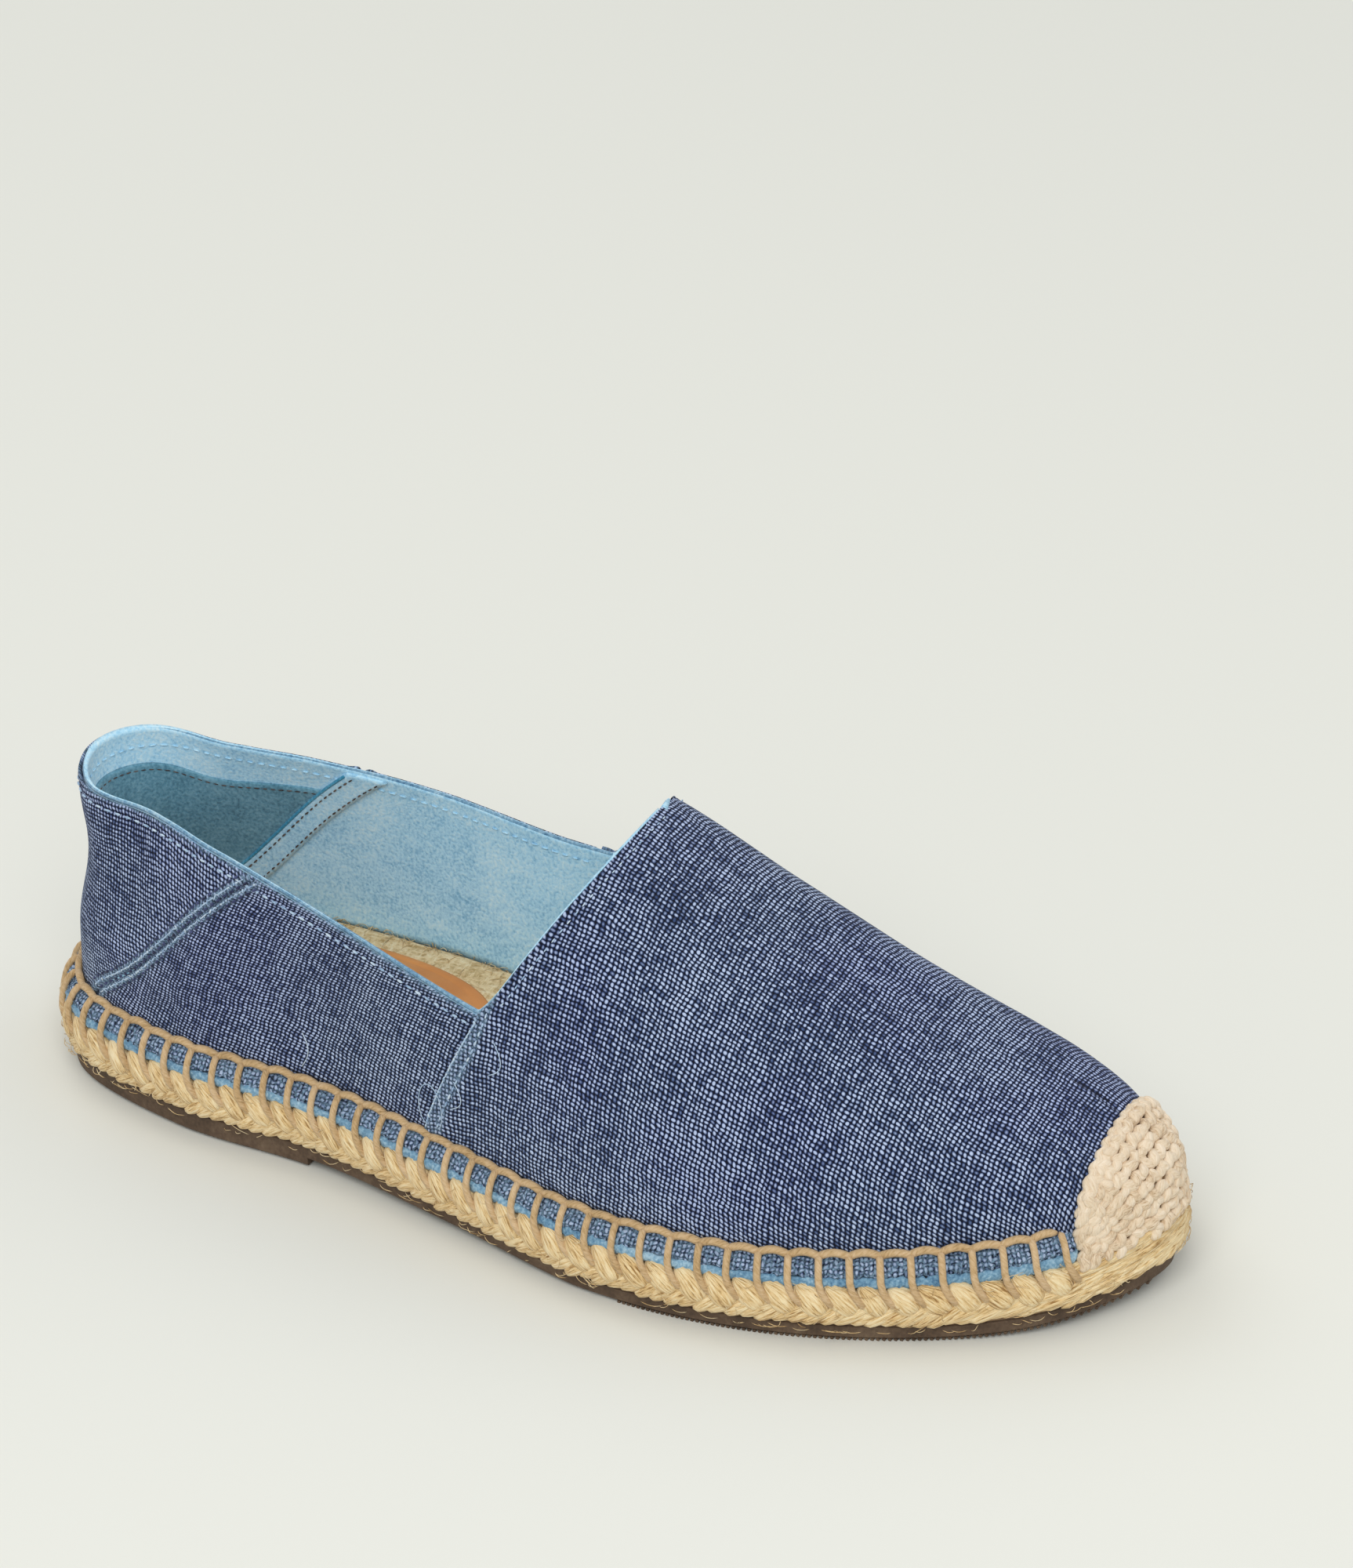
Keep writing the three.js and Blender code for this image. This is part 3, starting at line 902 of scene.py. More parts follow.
def strand_shape(
    name: str,
    length: float,
    width: float,
    depth: float,
    fullness: float = 0.5,
    bend: float = 0.0,
    sides: int = 8,
    steps: int = 8,
    peak: float = 0.5,
) -> bpy.types.Object:
    """A tapered strand, closed at both ends, along Z with its outer side at +X.

    Args:
        name: Name of the shape.
        length: End to end.
        width: Across, on Y.
        depth: Front to back, on X.
        fullness: Power of its taper; lower is blunter.
        bend: How far its middle is pushed sideways, on Y.
        sides: Faces round it.
        steps: Faces along it.
        peak: Where along it is widest, as a share.

    Returns:
        The shape, with a UV map named fibre in millimetres; it is a pattern, not a piece.
    """
    share = np.linspace(0, 1, steps + 1)
    warped = share ** (np.log(0.5) / np.log(peak))
    taper = np.clip(np.sin(np.pi * warped), 0, 1) ** fullness
    angle = np.linspace(0, 2 * np.pi, sides + 1)
    ring_x = np.cos(angle)[None, :] * taper[:, None] * depth / 2
    ring_y = np.sin(angle)[None, :] * taper[:, None] * width / 2
    ring_y = ring_y + bend * np.sin(np.pi * share)[:, None]
    ring_z = np.broadcast_to((share[:, None] - 0.5) * length, ring_x.shape)
    points = np.stack([ring_x, ring_y, ring_z], -1).reshape(-1, 3)
    around = np.broadcast_to(angle[None, :] / (2 * np.pi) * np.pi * (width + depth) / 2, ring_x.shape)
    uv = np.stack([around, np.broadcast_to(share[:, None] * length, ring_x.shape)], -1).reshape(-1, 2)
    faces = grid_faces(steps + 1, sides + 1)
    shape = mesh_piece(name, points, faces, uv, "fibre")
    merge_close(shape, 0.004)
    bpy.context.scene.collection.objects.unlink(shape)
    return shape


def grid_faces(rows: int, columns: int, wrap: bool = False, flip: bool = False) -> np.ndarray:
    """Four-sided faces of a grid of points.

    Args:
        rows: Number of rows.
        columns: Points in each row.
        wrap: Whether the last column joins the first.
        flip: Whether the faces look the other way.

    Returns:
        Vertex numbers of each face.
    """
    row, column = np.meshgrid(
        np.arange(rows - 1), np.arange(columns if wrap else columns - 1), indexing="ij"
    )
    right = (column + 1) % columns
    a, b = row * columns + column, row * columns + right
    c, d = (row + 1) * columns + right, (row + 1) * columns + column
    faces = np.stack([a, b, c, d] if not flip else [a, d, c, b], -1)
    return faces.reshape(-1, 4)


# ---------------------------------------------------------------- finishes


def new_material(name: str) -> tuple[bpy.types.Material, bpy.types.NodeTree]:
    """Starts a material with an empty tree."""
    material = bpy.data.materials.new(name)
    material.use_nodes = True
    material.node_tree.nodes.clear()
    return material, material.node_tree


def finish_shader(
    tree: bpy.types.NodeTree,
    colour: bpy.types.Node | bpy.types.NodeSocket,
    height: bpy.types.Node | bpy.types.NodeSocket,
    depth_mm: float,
    settings: dict,
    roughness: bpy.types.Node | None = None,
) -> None:
    """Ends a material with a Principled shader and its bump.

    Args:
        tree: The material's tree.
        colour: Base colour.
        height: Height of the relief, 0 to 1.
        depth_mm: Real depth of that relief.
        settings: Other inputs of the shader.
        roughness: Roughness, where it changes over the surface.
    """
    bump = add_node(
        tree, "ShaderNodeBump", {"Strength": 1.0, "Distance": depth_mm * MM}, {"Height": height}
    )
    links = {"Base Color": colour, "Normal": bump}
    if roughness is not None:
        links["Roughness"] = roughness
    shader = add_node(tree, "ShaderNodeBsdfPrincipled", settings, links)
    add_node(tree, "ShaderNodeOutputMaterial", {}, {"Surface": shader})


@dataclass(frozen=True)
class WashedCanvas:
    """Plain-woven cotton canvas, yarn-dyed and stone-washed.

    Washing lifts the dye off the crowns of the threads and leaves it between them, so the eye
    sees pale dots on a navy ground, with soft clouds and thick-and-thin threads.
    """

    name: str = "cotton canvas, woven and stone-washed"
    thread_pitch: float = 1.1
    ground: str = "#0b1022"
    body: str = "#3e527c"
    crown: str = "#bccce8"
    plum: str = "#8c7ca6"
    frayed: str = "#93b6d2"

    def material(self) -> bpy.types.Material:
        """Builds the material; it reads the UV map weave and the vertex value seam."""
        material, tree = new_material(self.name)
        node = partial(add_node, tree)
        uv = node("ShaderNodeUVMap", {"uv_map": "weave"})
        where = node("ShaderNodeTexCoord").outputs["Object"]
        sway = node("ShaderNodeTexNoise", {"Scale": 0.16, "Detail": 1.0}, {"Vector": uv})
        threads = node(
            "ShaderNodeVectorMath",
            {"operation": "MULTIPLY_ADD", 1: (1.6,) * 3},
            {0: sway.outputs["Color"], 2: uv},
        )
        threads = node("ShaderNodeVectorMath", {"operation": "SCALE", "Scale": 1 / self.thread_pitch}, {0: threads})
        cell = node("ShaderNodeVectorMath", {"operation": "FLOOR"}, {0: threads})
        inside = node("ShaderNodeVectorMath", {"operation": "FRACTION"}, {0: threads})
        middle = node("ShaderNodeVectorMath", {"operation": "SUBTRACT", 1: (0.5,) * 3}, {0: inside})
        off = node("ShaderNodeSeparateXYZ", {}, {0: node("ShaderNodeVectorMath", {"operation": "ABSOLUTE"}, {0: middle})})
        number = node("ShaderNodeSeparateXYZ", {}, {0: cell})
        total = node("ShaderNodeMath", {"operation": "ADD"}, {0: number.outputs[0], 1: number.outputs[1]})
        # Over and under: in every second cell the other thread is on top, so the dot turns.
        turned = node("ShaderNodeMath", {"operation": "FLOORED_MODULO", 1: 2.0}, {0: total})
        fall = None
        for first, gain in ((0, 4.6), (1, 2.5)):
            side = node(
                "ShaderNodeMix",
                {"data_type": "FLOAT"},
                {0: turned, 2: off.outputs[first], 3: off.outputs[1 - first]},
            )
            square = node("ShaderNodeMath", {"operation": "MULTIPLY"}, {0: side, 1: side})
            fall = node(
                "ShaderNodeMath", {"operation": "MULTIPLY_ADD", 1: gain, 2: 0.0}, {0: square} | ({2: fall} if fall else {})
            )
        crown = node("ShaderNodeMath", {"operation": "SUBTRACT", 0: 1.0, "use_clamp": True}, {1: fall})
        wear = None
        for kind, settings, source, gain in (
            ("ShaderNodeTexWhiteNoise", {"noise_dimensions": "2D"}, {"Vector": cell}, 0.45),
            ("ShaderNodeTexWhiteNoise", {"noise_dimensions": "1D"}, {"W": number.outputs[0]}, 0.15),
            ("ShaderNodeTexWhiteNoise", {"noise_dimensions": "1D"}, {"W": number.outputs[1]}, 0.15),
            ("ShaderNodeTexNoise", {"Scale": 0.42, "Detail": 3.0, "Roughness": 0.65}, {"Vector": uv}, 0.75),
            ("ShaderNodeTexNoise", {"Scale": 34.0, "Detail": 3.0}, {"Vector": where}, 0.7),
        ):
            noise = node(kind, settings, source)
            value = noise.outputs["Value"] if "White" in kind else noise.outputs["Fac"]
            term = node("ShaderNodeMath", {"operation": "MULTIPLY_ADD", 1: gain, 2: -gain / 2}, {0: value})
            wear = node("ShaderNodeMath", {"operation": "ADD", 1: 1.0}, {0: term} | ({1: wear} if wear else {}))
        pale = node("ShaderNodeMath", {"operation": "MULTIPLY", "use_clamp": True}, {0: crown, 1: wear})
        ramp = node("ShaderNodeValToRGB", {}, {"Fac": pale})
        stops = ramp.color_ramp.elements
        stops[0].position, stops[0].color = 0.12, linear(self.ground)
        stops[1].position, stops[1].color = 0.95, linear(self.crown)
        stops.new(0.5).color = linear(self.body)
        patches = node("ShaderNodeTexNoise", {"Scale": 21.0, "Detail": 2.0}, {"Vector": where})
        blush = node(
            "ShaderNodeMapRange", {"From Min": 0.42, "From Max": 0.66, "To Max": 0.45}, {"Value": patches}
        )
        dyed = node(
            "ShaderNodeMix",
            {"data_type": "RGBA", "blend_type": "SOFT_LIGHT", 7: linear(self.plum)},
            {0: blush.outputs[0], 6: ramp},
        )
        seam = node("ShaderNodeAttribute", {"attribute_name": "seam"})
        fuzz = node("ShaderNodeTexNoise", {"Scale": 1.15, "Detail": 4.0, "Roughness": 0.8}, {"Vector": uv})
        ragged = node("ShaderNodeMath", {"operation": "MULTIPLY_ADD", 1: 5.0, 2: -2.1}, {0: fuzz})
        bare = node("ShaderNodeMath", {"operation": "MULTIPLY", "use_clamp": True}, {0: ragged, 1: seam.outputs["Fac"]})
        colour = node(
            "ShaderNodeMix", {"data_type": "RGBA", 7: linear(self.frayed)}, {0: bare, 6: dyed.outputs[2]}
        )
        relief = node("ShaderNodeMath", {"operation": "MULTIPLY_ADD", 1: 0.5}, {0: bare, 2: crown})
        settings = {"Roughness": 0.92, "Specular IOR Level": 0.2, "Sheen Weight": 0.05}
        finish_shader(tree, colour.outputs[2], relief, 0.3, settings)
        return material


@dataclass(frozen=True)
class BrushedSuede:
    """Split suede, dyed turquoise and brushed.

    The nap lies this way and that, so light and dark strokes and cloudy patches show.
    """

    name: str = "suede, dyed and brushed"
    light: str = "#daf5ff"
    body: str = "#b5e3fb"
    shade: str = "#7cb6dc"
    nap_scale: float = 1300.0

    def material(self) -> bpy.types.Material:
        """Builds the material on object coordinates."""
        material, tree = new_material(self.name)
        node = partial(add_node, tree)
        where = node("ShaderNodeTexCoord").outputs["Object"]
        brushed = {"Scale": (1.0, 0.22, 0.55), "Rotation": (0.5, 0.0, 0.3)}
        lain = node("ShaderNodeMapping", brushed, {"Vector": where})
        cloud = node("ShaderNodeTexNoise", {"Scale": 34.0, "Detail": 4.0, "Distortion": 0.8}, {"Vector": where})
        stroke = node("ShaderNodeTexNoise", {"Scale": 260.0, "Detail": 4.0, "Roughness": 0.7}, {"Vector": lain})
        nap = node("ShaderNodeTexNoise", {"Scale": self.nap_scale, "Detail": 2.0}, {"Vector": where})
        mixed = node("ShaderNodeMath", {"operation": "MULTIPLY", 1: 0.3}, {0: cloud})
        for layer, gain in ((stroke, 0.25), (nap, 0.45)):
            mixed = node("ShaderNodeMath", {"operation": "MULTIPLY_ADD", 1: gain}, {0: layer, 2: mixed})
        ramp = node("ShaderNodeValToRGB", {}, {"Fac": mixed})
        stops = ramp.color_ramp.elements
        stops[0].position, stops[0].color = 0.34, linear(self.shade)
        stops[1].position, stops[1].color = 0.66, linear(self.light)
        stops.new(0.5).color = linear(self.body)
        settings = {"Roughness": 0.95, "Specular IOR Level": 0.2, "Sheen Weight": 0.25}
        finish_shader(tree, ramp, nap, 0.15, settings)
        return material


@dataclass(frozen=True)
class SpunFibre:
    """Spun plant or cotton fibre, read along each strand's own length.

    Long fibres lie along the strand with darker lines between them, and each strand has its
    own shade.
    """

    name: str
    light: str
    body: str
    shade: str
    across_scale: float = 2.6
    length_scale: float = 0.28
    twist: float = 0.0
    relief_mm: float = 0.22
    spread: float = 0.35
    sheen: float = 0.15
    contrast: float = 1.0

    def material(self) -> bpy.types.Material:
        """Builds the material; it reads the UV map fibre and the value tint."""
        material, tree = new_material(self.name)
        uv = add_node(tree, "ShaderNodeUVMap", {"uv_map": "fibre"})
        parts = add_node(tree, "ShaderNodeSeparateXYZ", {}, {0: uv})
        slid = add_node(
            tree, "ShaderNodeMath", {"operation": "MULTIPLY_ADD", 1: self.twist}, {0: parts.outputs[1], 2: parts.outputs[0]}
        )
        tint = add_node(tree, "ShaderNodeAttribute", {"attribute_name": "tint"})
        apart = add_node(tree, "ShaderNodeMath", {"operation": "MULTIPLY", 1: 61.0}, {0: tint.outputs["Fac"]})
        line = add_node(tree, "ShaderNodeCombineXYZ", {}, {0: slid, 1: parts.outputs[1], 2: apart})
        stretched = add_node(
            tree, "ShaderNodeMapping", {"Scale": (self.across_scale, self.length_scale, 1.0)}, {"Vector": line}
        )
        fibres = add_node(
            tree, "ShaderNodeTexNoise", {"Scale": 1.0, "Detail": 4.0, "Roughness": 0.62}, {"Vector": stretched}
        )
        where = add_node(tree, "ShaderNodeTexCoord").outputs["Object"]
        dirt = add_node(tree, "ShaderNodeTexNoise", {"Scale": 120.0, "Detail": 3.0}, {"Vector": where})
        strong = add_node(
            tree, "ShaderNodeMath", {"operation": "MULTIPLY_ADD", 1: self.contrast, 2: 0.5 - 0.5 * self.contrast}, {0: fibres.outputs["Fac"]}
        )
        shaded = add_node(
            tree, "ShaderNodeMath", {"operation": "MULTIPLY_ADD", 1: self.spread, 2: -self.spread / 2}, {0: tint.outputs["Fac"]}
        )
        mixed = add_node(tree, "ShaderNodeMath", {"operation": "ADD"}, {0: strong, 1: shaded})
        mixed = add_node(
            tree, "ShaderNodeMath", {"operation": "MULTIPLY_ADD", 1: 0.4}, {0: dirt.outputs["Fac"], 2: mixed}
        )
        ramp = add_node(tree, "ShaderNodeValToRGB", {}, {"Fac": mixed})
        stops = ramp.color_ramp.elements
        stops[0].position, stops[0].color = 0.38, linear(self.shade)
        stops[1].position, stops[1].color = 0.92, linear(self.light)
        stops.new(0.62).color = linear(self.body)
        settings = {
            "Roughness": 0.85,
            "Specular IOR Level": 0.3,
            "Sheen Weight": self.sheen,
            "Sheen Roughness": 0.5,
        }
        finish_shader(tree, ramp, fibres.outputs["Fac"], self.relief_mm, settings)
        return material


@dataclass(frozen=True)
class JuteCloth:
    """Hairy jute cloth: short straw-coloured fibres matted over a loose weave."""

    name: str = "jute cloth, loosely woven and brushed up"
    light: str = "#fdebc6"
    body: str = "#eccf9e"
    shade: str = "#b8945c"

    def material(self) -> bpy.types.Material:
        """Builds the material on object coordinates."""
        material, tree = new_material(self.name)
        where = add_node(tree, "ShaderNodeTexCoord").outputs["Object"]
        layers = []
        for scale, turn in (((1.0, 0.3, 1.0), 0.6), ((0.3, 1.0, 1.0), -0.4), ((1.0, 1.0, 1.0), 0.0)):
            turned = add_node(tree, "ShaderNodeMapping", {"Scale": scale, "Rotation": (0, 0, turn)}, {"Vector": where})
            layers.append(
                add_node(tree, "ShaderNodeTexNoise", {"Scale": 620.0, "Detail": 4.0, "Roughness": 0.7}, {"Vector": turned})
            )
        top = add_node(tree, "ShaderNodeMath", {"operation": "MAXIMUM"}, {0: layers[0].outputs["Fac"], 1: layers[1].outputs["Fac"]})
        mixed = add_node(tree, "ShaderNodeMath", {"operation": "MULTIPLY_ADD", 1: 0.45}, {0: layers[2].outputs["Fac"], 2: top})
        ramp = add_node(tree, "ShaderNodeValToRGB", {}, {"Fac": mixed})
        stops = ramp.color_ramp.elements
        stops[0].position, stops[0].color = 0.6, linear(self.shade)
        stops[1].position, stops[1].color = 0.95, linear(self.light)
        stops.new(0.78).color = linear(self.body)
        settings = {"Roughness": 0.95, "Specular IOR Level": 0.2, "Sheen Weight": 0.2}
        finish_shader(tree, ramp, mixed, 0.5, settings)
        return material


@dataclass(frozen=True)
class TannedLeather:
    """Vegetable-tanned leather, rolled smooth: fine grain, a little gloss, handling marks."""

    name: str = "leather, vegetable-tanned and rolled"
    body: str = "#ee9f58"
    shade: str = "#d68745"

    def material(self) -> bpy.types.Material:
        """Builds the material on object coordinates."""
        material, tree = new_material(self.name)
        where = add_node(tree, "ShaderNodeTexCoord").outputs["Object"]
        cloud = add_node(tree, "ShaderNodeTexNoise", {"Scale": 55.0, "Detail": 5.0}, {"Vector": where})
        grain = add_node(tree, "ShaderNodeTexVoronoi", {"Scale": 1500.0, "feature": "DISTANCE_TO_EDGE"}, {"Vector": where})
        ramp = add_node(tree, "ShaderNodeValToRGB", {}, {"Fac": cloud.outputs["Fac"]})
        stops = ramp.color_ramp.elements
        stops[0].position, stops[0].color = 0.35, linear(self.shade)
        stops[1].position, stops[1].color = 0.65, linear(self.body)
        settings = {"Roughness": 0.5, "Specular IOR Level": 0.45}
        finish_shader(tree, ramp, grain.outputs["Distance"], 0.03, settings)
        return material


@dataclass(frozen=True)
class MouldedRubber:
    """Brown-grey moulded rubber: matt and faintly pitted, with paler dusty patches."""

    name: str = "rubber, compression-moulded"
    body: str = "#5d4b3c"
    shade: str = "#43362b"
    dust: str = "#7d6a56"

    def material(self) -> bpy.types.Material:
        """Builds the material on object coordinates."""
        material, tree = new_material(self.name)
        where = add_node(tree, "ShaderNodeTexCoord").outputs["Object"]
        pits = add_node(tree, "ShaderNodeTexNoise", {"Scale": 1100.0, "Detail": 3.0}, {"Vector": where})
        cloud = add_node(tree, "ShaderNodeTexNoise", {"Scale": 90.0, "Detail": 4.0, "Roughness": 0.7}, {"Vector": where})
        mixed = add_node(tree, "ShaderNodeMath", {"operation": "MULTIPLY_ADD", 1: 0.35}, {0: pits.outputs["Fac"], 2: cloud.outputs["Fac"]})
        ramp = add_node(tree, "ShaderNodeValToRGB", {}, {"Fac": mixed})
        stops = ramp.color_ramp.elements
        stops[0].position, stops[0].color = 0.45, linear(self.shade)
        stops[1].position, stops[1].color = 1.0, linear(self.dust)
        stops.new(0.68).color = linear(self.body)
        settings = {"Roughness": 0.72, "Specular IOR Level": 0.35}
        finish_shader(tree, ramp, pits.outputs["Fac"], 0.12, settings)
        return material


@dataclass(frozen=True)
class Finishes:
    """Every finish of the shoe, made once."""

    canvas: bpy.types.Material
    suede: bpy.types.Material
    grip_suede_partly_painted_shade: bpy.types.Material
    edge_suede: bpy.types.Material
    rope: bpy.types.Material
    rope_core: bpy.types.Material
    jute_thread: bpy.types.Material
    crochet: bpy.types.Material
    pale_thread: bpy.types.Material
    brown_thread: bpy.types.Material
    navy_thread: bpy.types.Material
    crochet_ground: bpy.types.Material
    bright_suede: bpy.types.Material
    cloth: bpy.types.Material
    leather: bpy.types.Material
    rubber: bpy.types.Material

    @staticmethod
    def make() -> Finishes:
        """Builds every material."""
        sewing = {"across_scale": 3.0, "length_scale": 1.0, "relief_mm": 0.05}
        yarn = {"across_scale": 2.0, "length_scale": 0.5, "twist": 0.5, "relief_mm": 0.3, "spread": 0.2}
        wound = {"across_scale": 1.8, "length_scale": 0.8, "twist": 0.9, "relief_mm": 0.25, "spread": 0.15}
        plaited = {"spread": 0.12, "relief_mm": 0.4, "contrast": 1.7}
        spun = {
            "rope": ("jute, spun and plaited", "#fbe8be", "#e6c58c", "#9a723e", plaited),
            # The core's colours are painted shade: dark brown for the shadow that the plait's strands cast on the rope
            # behind them.
            "rope_core": ("jute, spun, inside of the plait", "#a8854f", "#87643a", "#5f4325", {}),
            "jute_thread": ("jute thread, waxed and pulled tight", "#dcc09a", "#c5a578", "#94754a", wound),
            "crochet": ("cotton yarn, loosely spun, crocheted", "#f6e6cf", "#e4ceb0", "#ae8d66", yarn),
            # The crochet's ground is a darker copy of its yarn: painted shade for the gaps between the knots.
            "crochet_ground": ("cotton yarn, in the gaps of the crochet", "#9c7d58", "#7a5c3c", "#553c24", yarn),
            "pale_thread": ("cotton sewing thread, bleached blue", "#d2e1ee", "#a9c4de", "#6f8fb8", sewing),
            "brown_thread": ("polyester sewing thread, brown", "#6b5a50", "#4a3d38", "#2e2624", sewing),
            "navy_thread": ("cotton sewing thread, navy", "#465079", "#272f52", "#12162b", sewing),
        }
        brushed = {
            "suede": BrushedSuede(),
            # The grip's colours are darker than the lining's: partly the grip's own darker suede, partly painted shade
            # from the fold inside the heel.
            "grip_suede_partly_painted_shade": BrushedSuede("suede, heel grip, brushed backwards", "#84b1c4", "#6193a9", "#3a6377"),
            "edge_suede": BrushedSuede("suede, cut edge, bright dye", "#b0cede", "#779fba", "#3c668a"),
            "bright_suede": BrushedSuede("suede, raw edge, full of dye", "#6fb6d2", "#3f93b6", "#256f92"),
        }
        return Finishes(
            canvas=WashedCanvas().material(),
            cloth=JuteCloth().material(),
            leather=TannedLeather().material(),
            rubber=MouldedRubber().material(),
            **{key: SpunFibre(name, *tones, **sizes).material() for key, (name, *tones, sizes) in spun.items()},
            **{key: finish.material() for key, finish in brushed.items()},
        )


# ---------------------------------------------------------------- the upper


@dataclass(frozen=True)
class Crease:
    """A soft trough, or a ridge when its depth is negative, from one place to another.

    Places are a turn round the outline and a share of the way up the rib.
    """

    turn_from: float
    up_from: float
    turn_to: float
    up_to: float
    width: float
    depth: float


@dataclass(frozen=True)
class Seam:
    """A seam on the upper's side: its turn at a share of the way up the ribs."""

    foot: float
    slant: float
    bend: float = 0.0

    def turn(self, up: np.ndarray, side: int = 1, shift_mm: float = 0.0) -> np.ndarray:
        """Turn of the seam, moved forwards by a distance, on the outer (1) or inner (-1) side."""
        turn = self.foot + self.slant * up + self.bend * up**2 + shift_mm / SIDE_LENGTH
        return turn if side > 0 else 2 - turn


HEEL_SEAM = Seam(0.103, 0.192, -0.036)
SIDE_SEAM = Seam(0.407, 0.043)
SIDE_LENGTH = 328.0
RIB_LENGTH = 62.0


@dataclass
class CanvasUpper:
    """Four canvas panels, their hem, and the sewing that joins them."""

    last: Last
    finishes: Finishes
    needle: Needle
    winder: Winder
    thickness: float = 0.9
    rows: int = 60
    lap: float = 0.75
    lap_end: float = 0.03
    stitch_inset: float = 2.5
    throat_inset: float = 2.6
    creases: tuple[Crease, ...] = (
        Crease(0.118, 0.04, 0.165, 0.30, 4.5, 1.3),
        Crease(0.145, 0.02, 0.205, 0.20, 3.5, 1.0),
        Crease(0.128, 0.16, 0.150, 0.42, 5.0, -0.7),
        Crease(0.205, 0.30, 0.240, 0.75, 6.0, -0.6),
        Crease(0.27, 0.05, 0.33, 0.55, 9.0, 0.6),
        Crease(0.36, 0.10, 0.39, 0.70, 8.0, -0.5),
        Crease(0.050, 0.15, 0.070, 0.70, 7.0, 0.7),
        Crease(0.48, 0.35, 0.60, 0.62, 12.0, 0.6),
        Crease(0.64, 0.30, 0.80, 0.55, 11.0, 0.6),
        Crease(0.62, 0.80, 0.84, 0.88, 12.0, -0.5),
        Crease(0.84, 0.25, 0.90, 0.75, 7.0, 0.4),
        Crease(1.882, 0.05, 1.835, 0.32, 4.5, 1.1),
        Crease(1.73, 0.05, 1.67, 0.55, 9.0, 0.6),
        Crease(1.52, 0.35, 1.40, 0.62, 12.0, 0.6),
        Crease(1.36, 0.30, 1.20, 0.55, 11.0, 0.6),
    )

    def build(self) -> None:
        """Makes the panels, the hem and the sewing."""
        self.heel_panel()
        self.quarter("canvas_outer_quarter", 1)
        self.quarter("canvas_inner_quarter", -1)
        self.vamp()
        self.hem()
        self.stitching()
        self.loose_threads()

    def relief(self, turn: np.ndarray, up: np.ndarray) -> np.ndarray:
        """How far the cloth stands out because of its creases."""
        scale = np.array([SIDE_LENGTH, RIB_LENGTH])
        total = np.zeros(np.broadcast(turn, up).shape)
        here = np.stack(np.broadcast_arrays(np.mod(turn, 2), up), -1) * scale
        for crease in self.creases:
            start = np.array([crease.turn_from, crease.up_from]) * scale
            run = np.array([crease.turn_to, crease.up_to]) * scale - start
            share = np.clip(((here - start) @ run) / (run @ run), 0, 1)
            away = np.linalg.norm(here - start - share[..., None] * run, axis=-1)
            fade = np.sin(np.pi * (share * 0.8 + 0.1))
            total -= crease.depth * fade * np.exp(-((away / crease.width) ** 2))
        return 0.9 * np.tanh(total / 0.9) * smoothstep(up, 0.0, 0.12)

    def weave(self, turn: np.ndarray, angle: np.ndarray) -> np.ndarray:
        """Unrolled places on the cloth: along the shoe, and across it from the ridge.

        Args:
            turn: Grid of places round the outline.
            angle: Grid of places up the ribs.

        Returns:
            Both distances in millimetres, following the surface.
        """
        climb = angle + (np.pi / 2 - angle) * np.linspace(0, 1, 25)[:, None, None]
        step = np.diff(self.last.point(turn[None], climb, 0.0), axis=0)
        foot = self.last.point(turn, 0 * turn, 0.0)[..., :2]
        spine = self.last.place(self.last.spine(turn), 0 * turn)[..., :2]
        heading = unit(spine - foot)
        level = np.linalg.norm(step[..., :2], axis=-1)
        reach = [(part * np.hypot(level, part * step[..., 2])).sum(0) for part in np.abs(np.moveaxis(heading, -1, 0))]
        across = np.where(np.mod(turn, 2) > 1, 1.0, -1.0) * reach[0]
        return np.stack([spine[..., 1] - np.sign(heading[..., 1]) * reach[1], across], -1)

    def side_weave(self, turn: np.ndarray, angle: np.ndarray, lean: float) -> np.ndarray:
        """Unrolled places on the heel panel or a quarter, cut at a slant.

        Args:
            turn: Grid of places round the outline, which may be below nothing.
            angle: Grid of places up the ribs.
            lean: Slant of the cloth, in degrees.

        Returns:
            Along and up the cloth, in millimetres.
        """
        points = self.last.point(turn, angle, 0.0)
        rise = np.linalg.norm(np.diff(points, axis=0), axis=-1)
        rise = np.concatenate([np.zeros_like(rise[:1]), np.cumsum(rise, 0)])
        around, slant = turn * SIDE_LENGTH, np.radians(lean)
        return np.stack(
            [around * np.cos(slant) - rise * np.sin(slant), around * np.sin(slant) + rise * np.cos(slant)], -1
        )

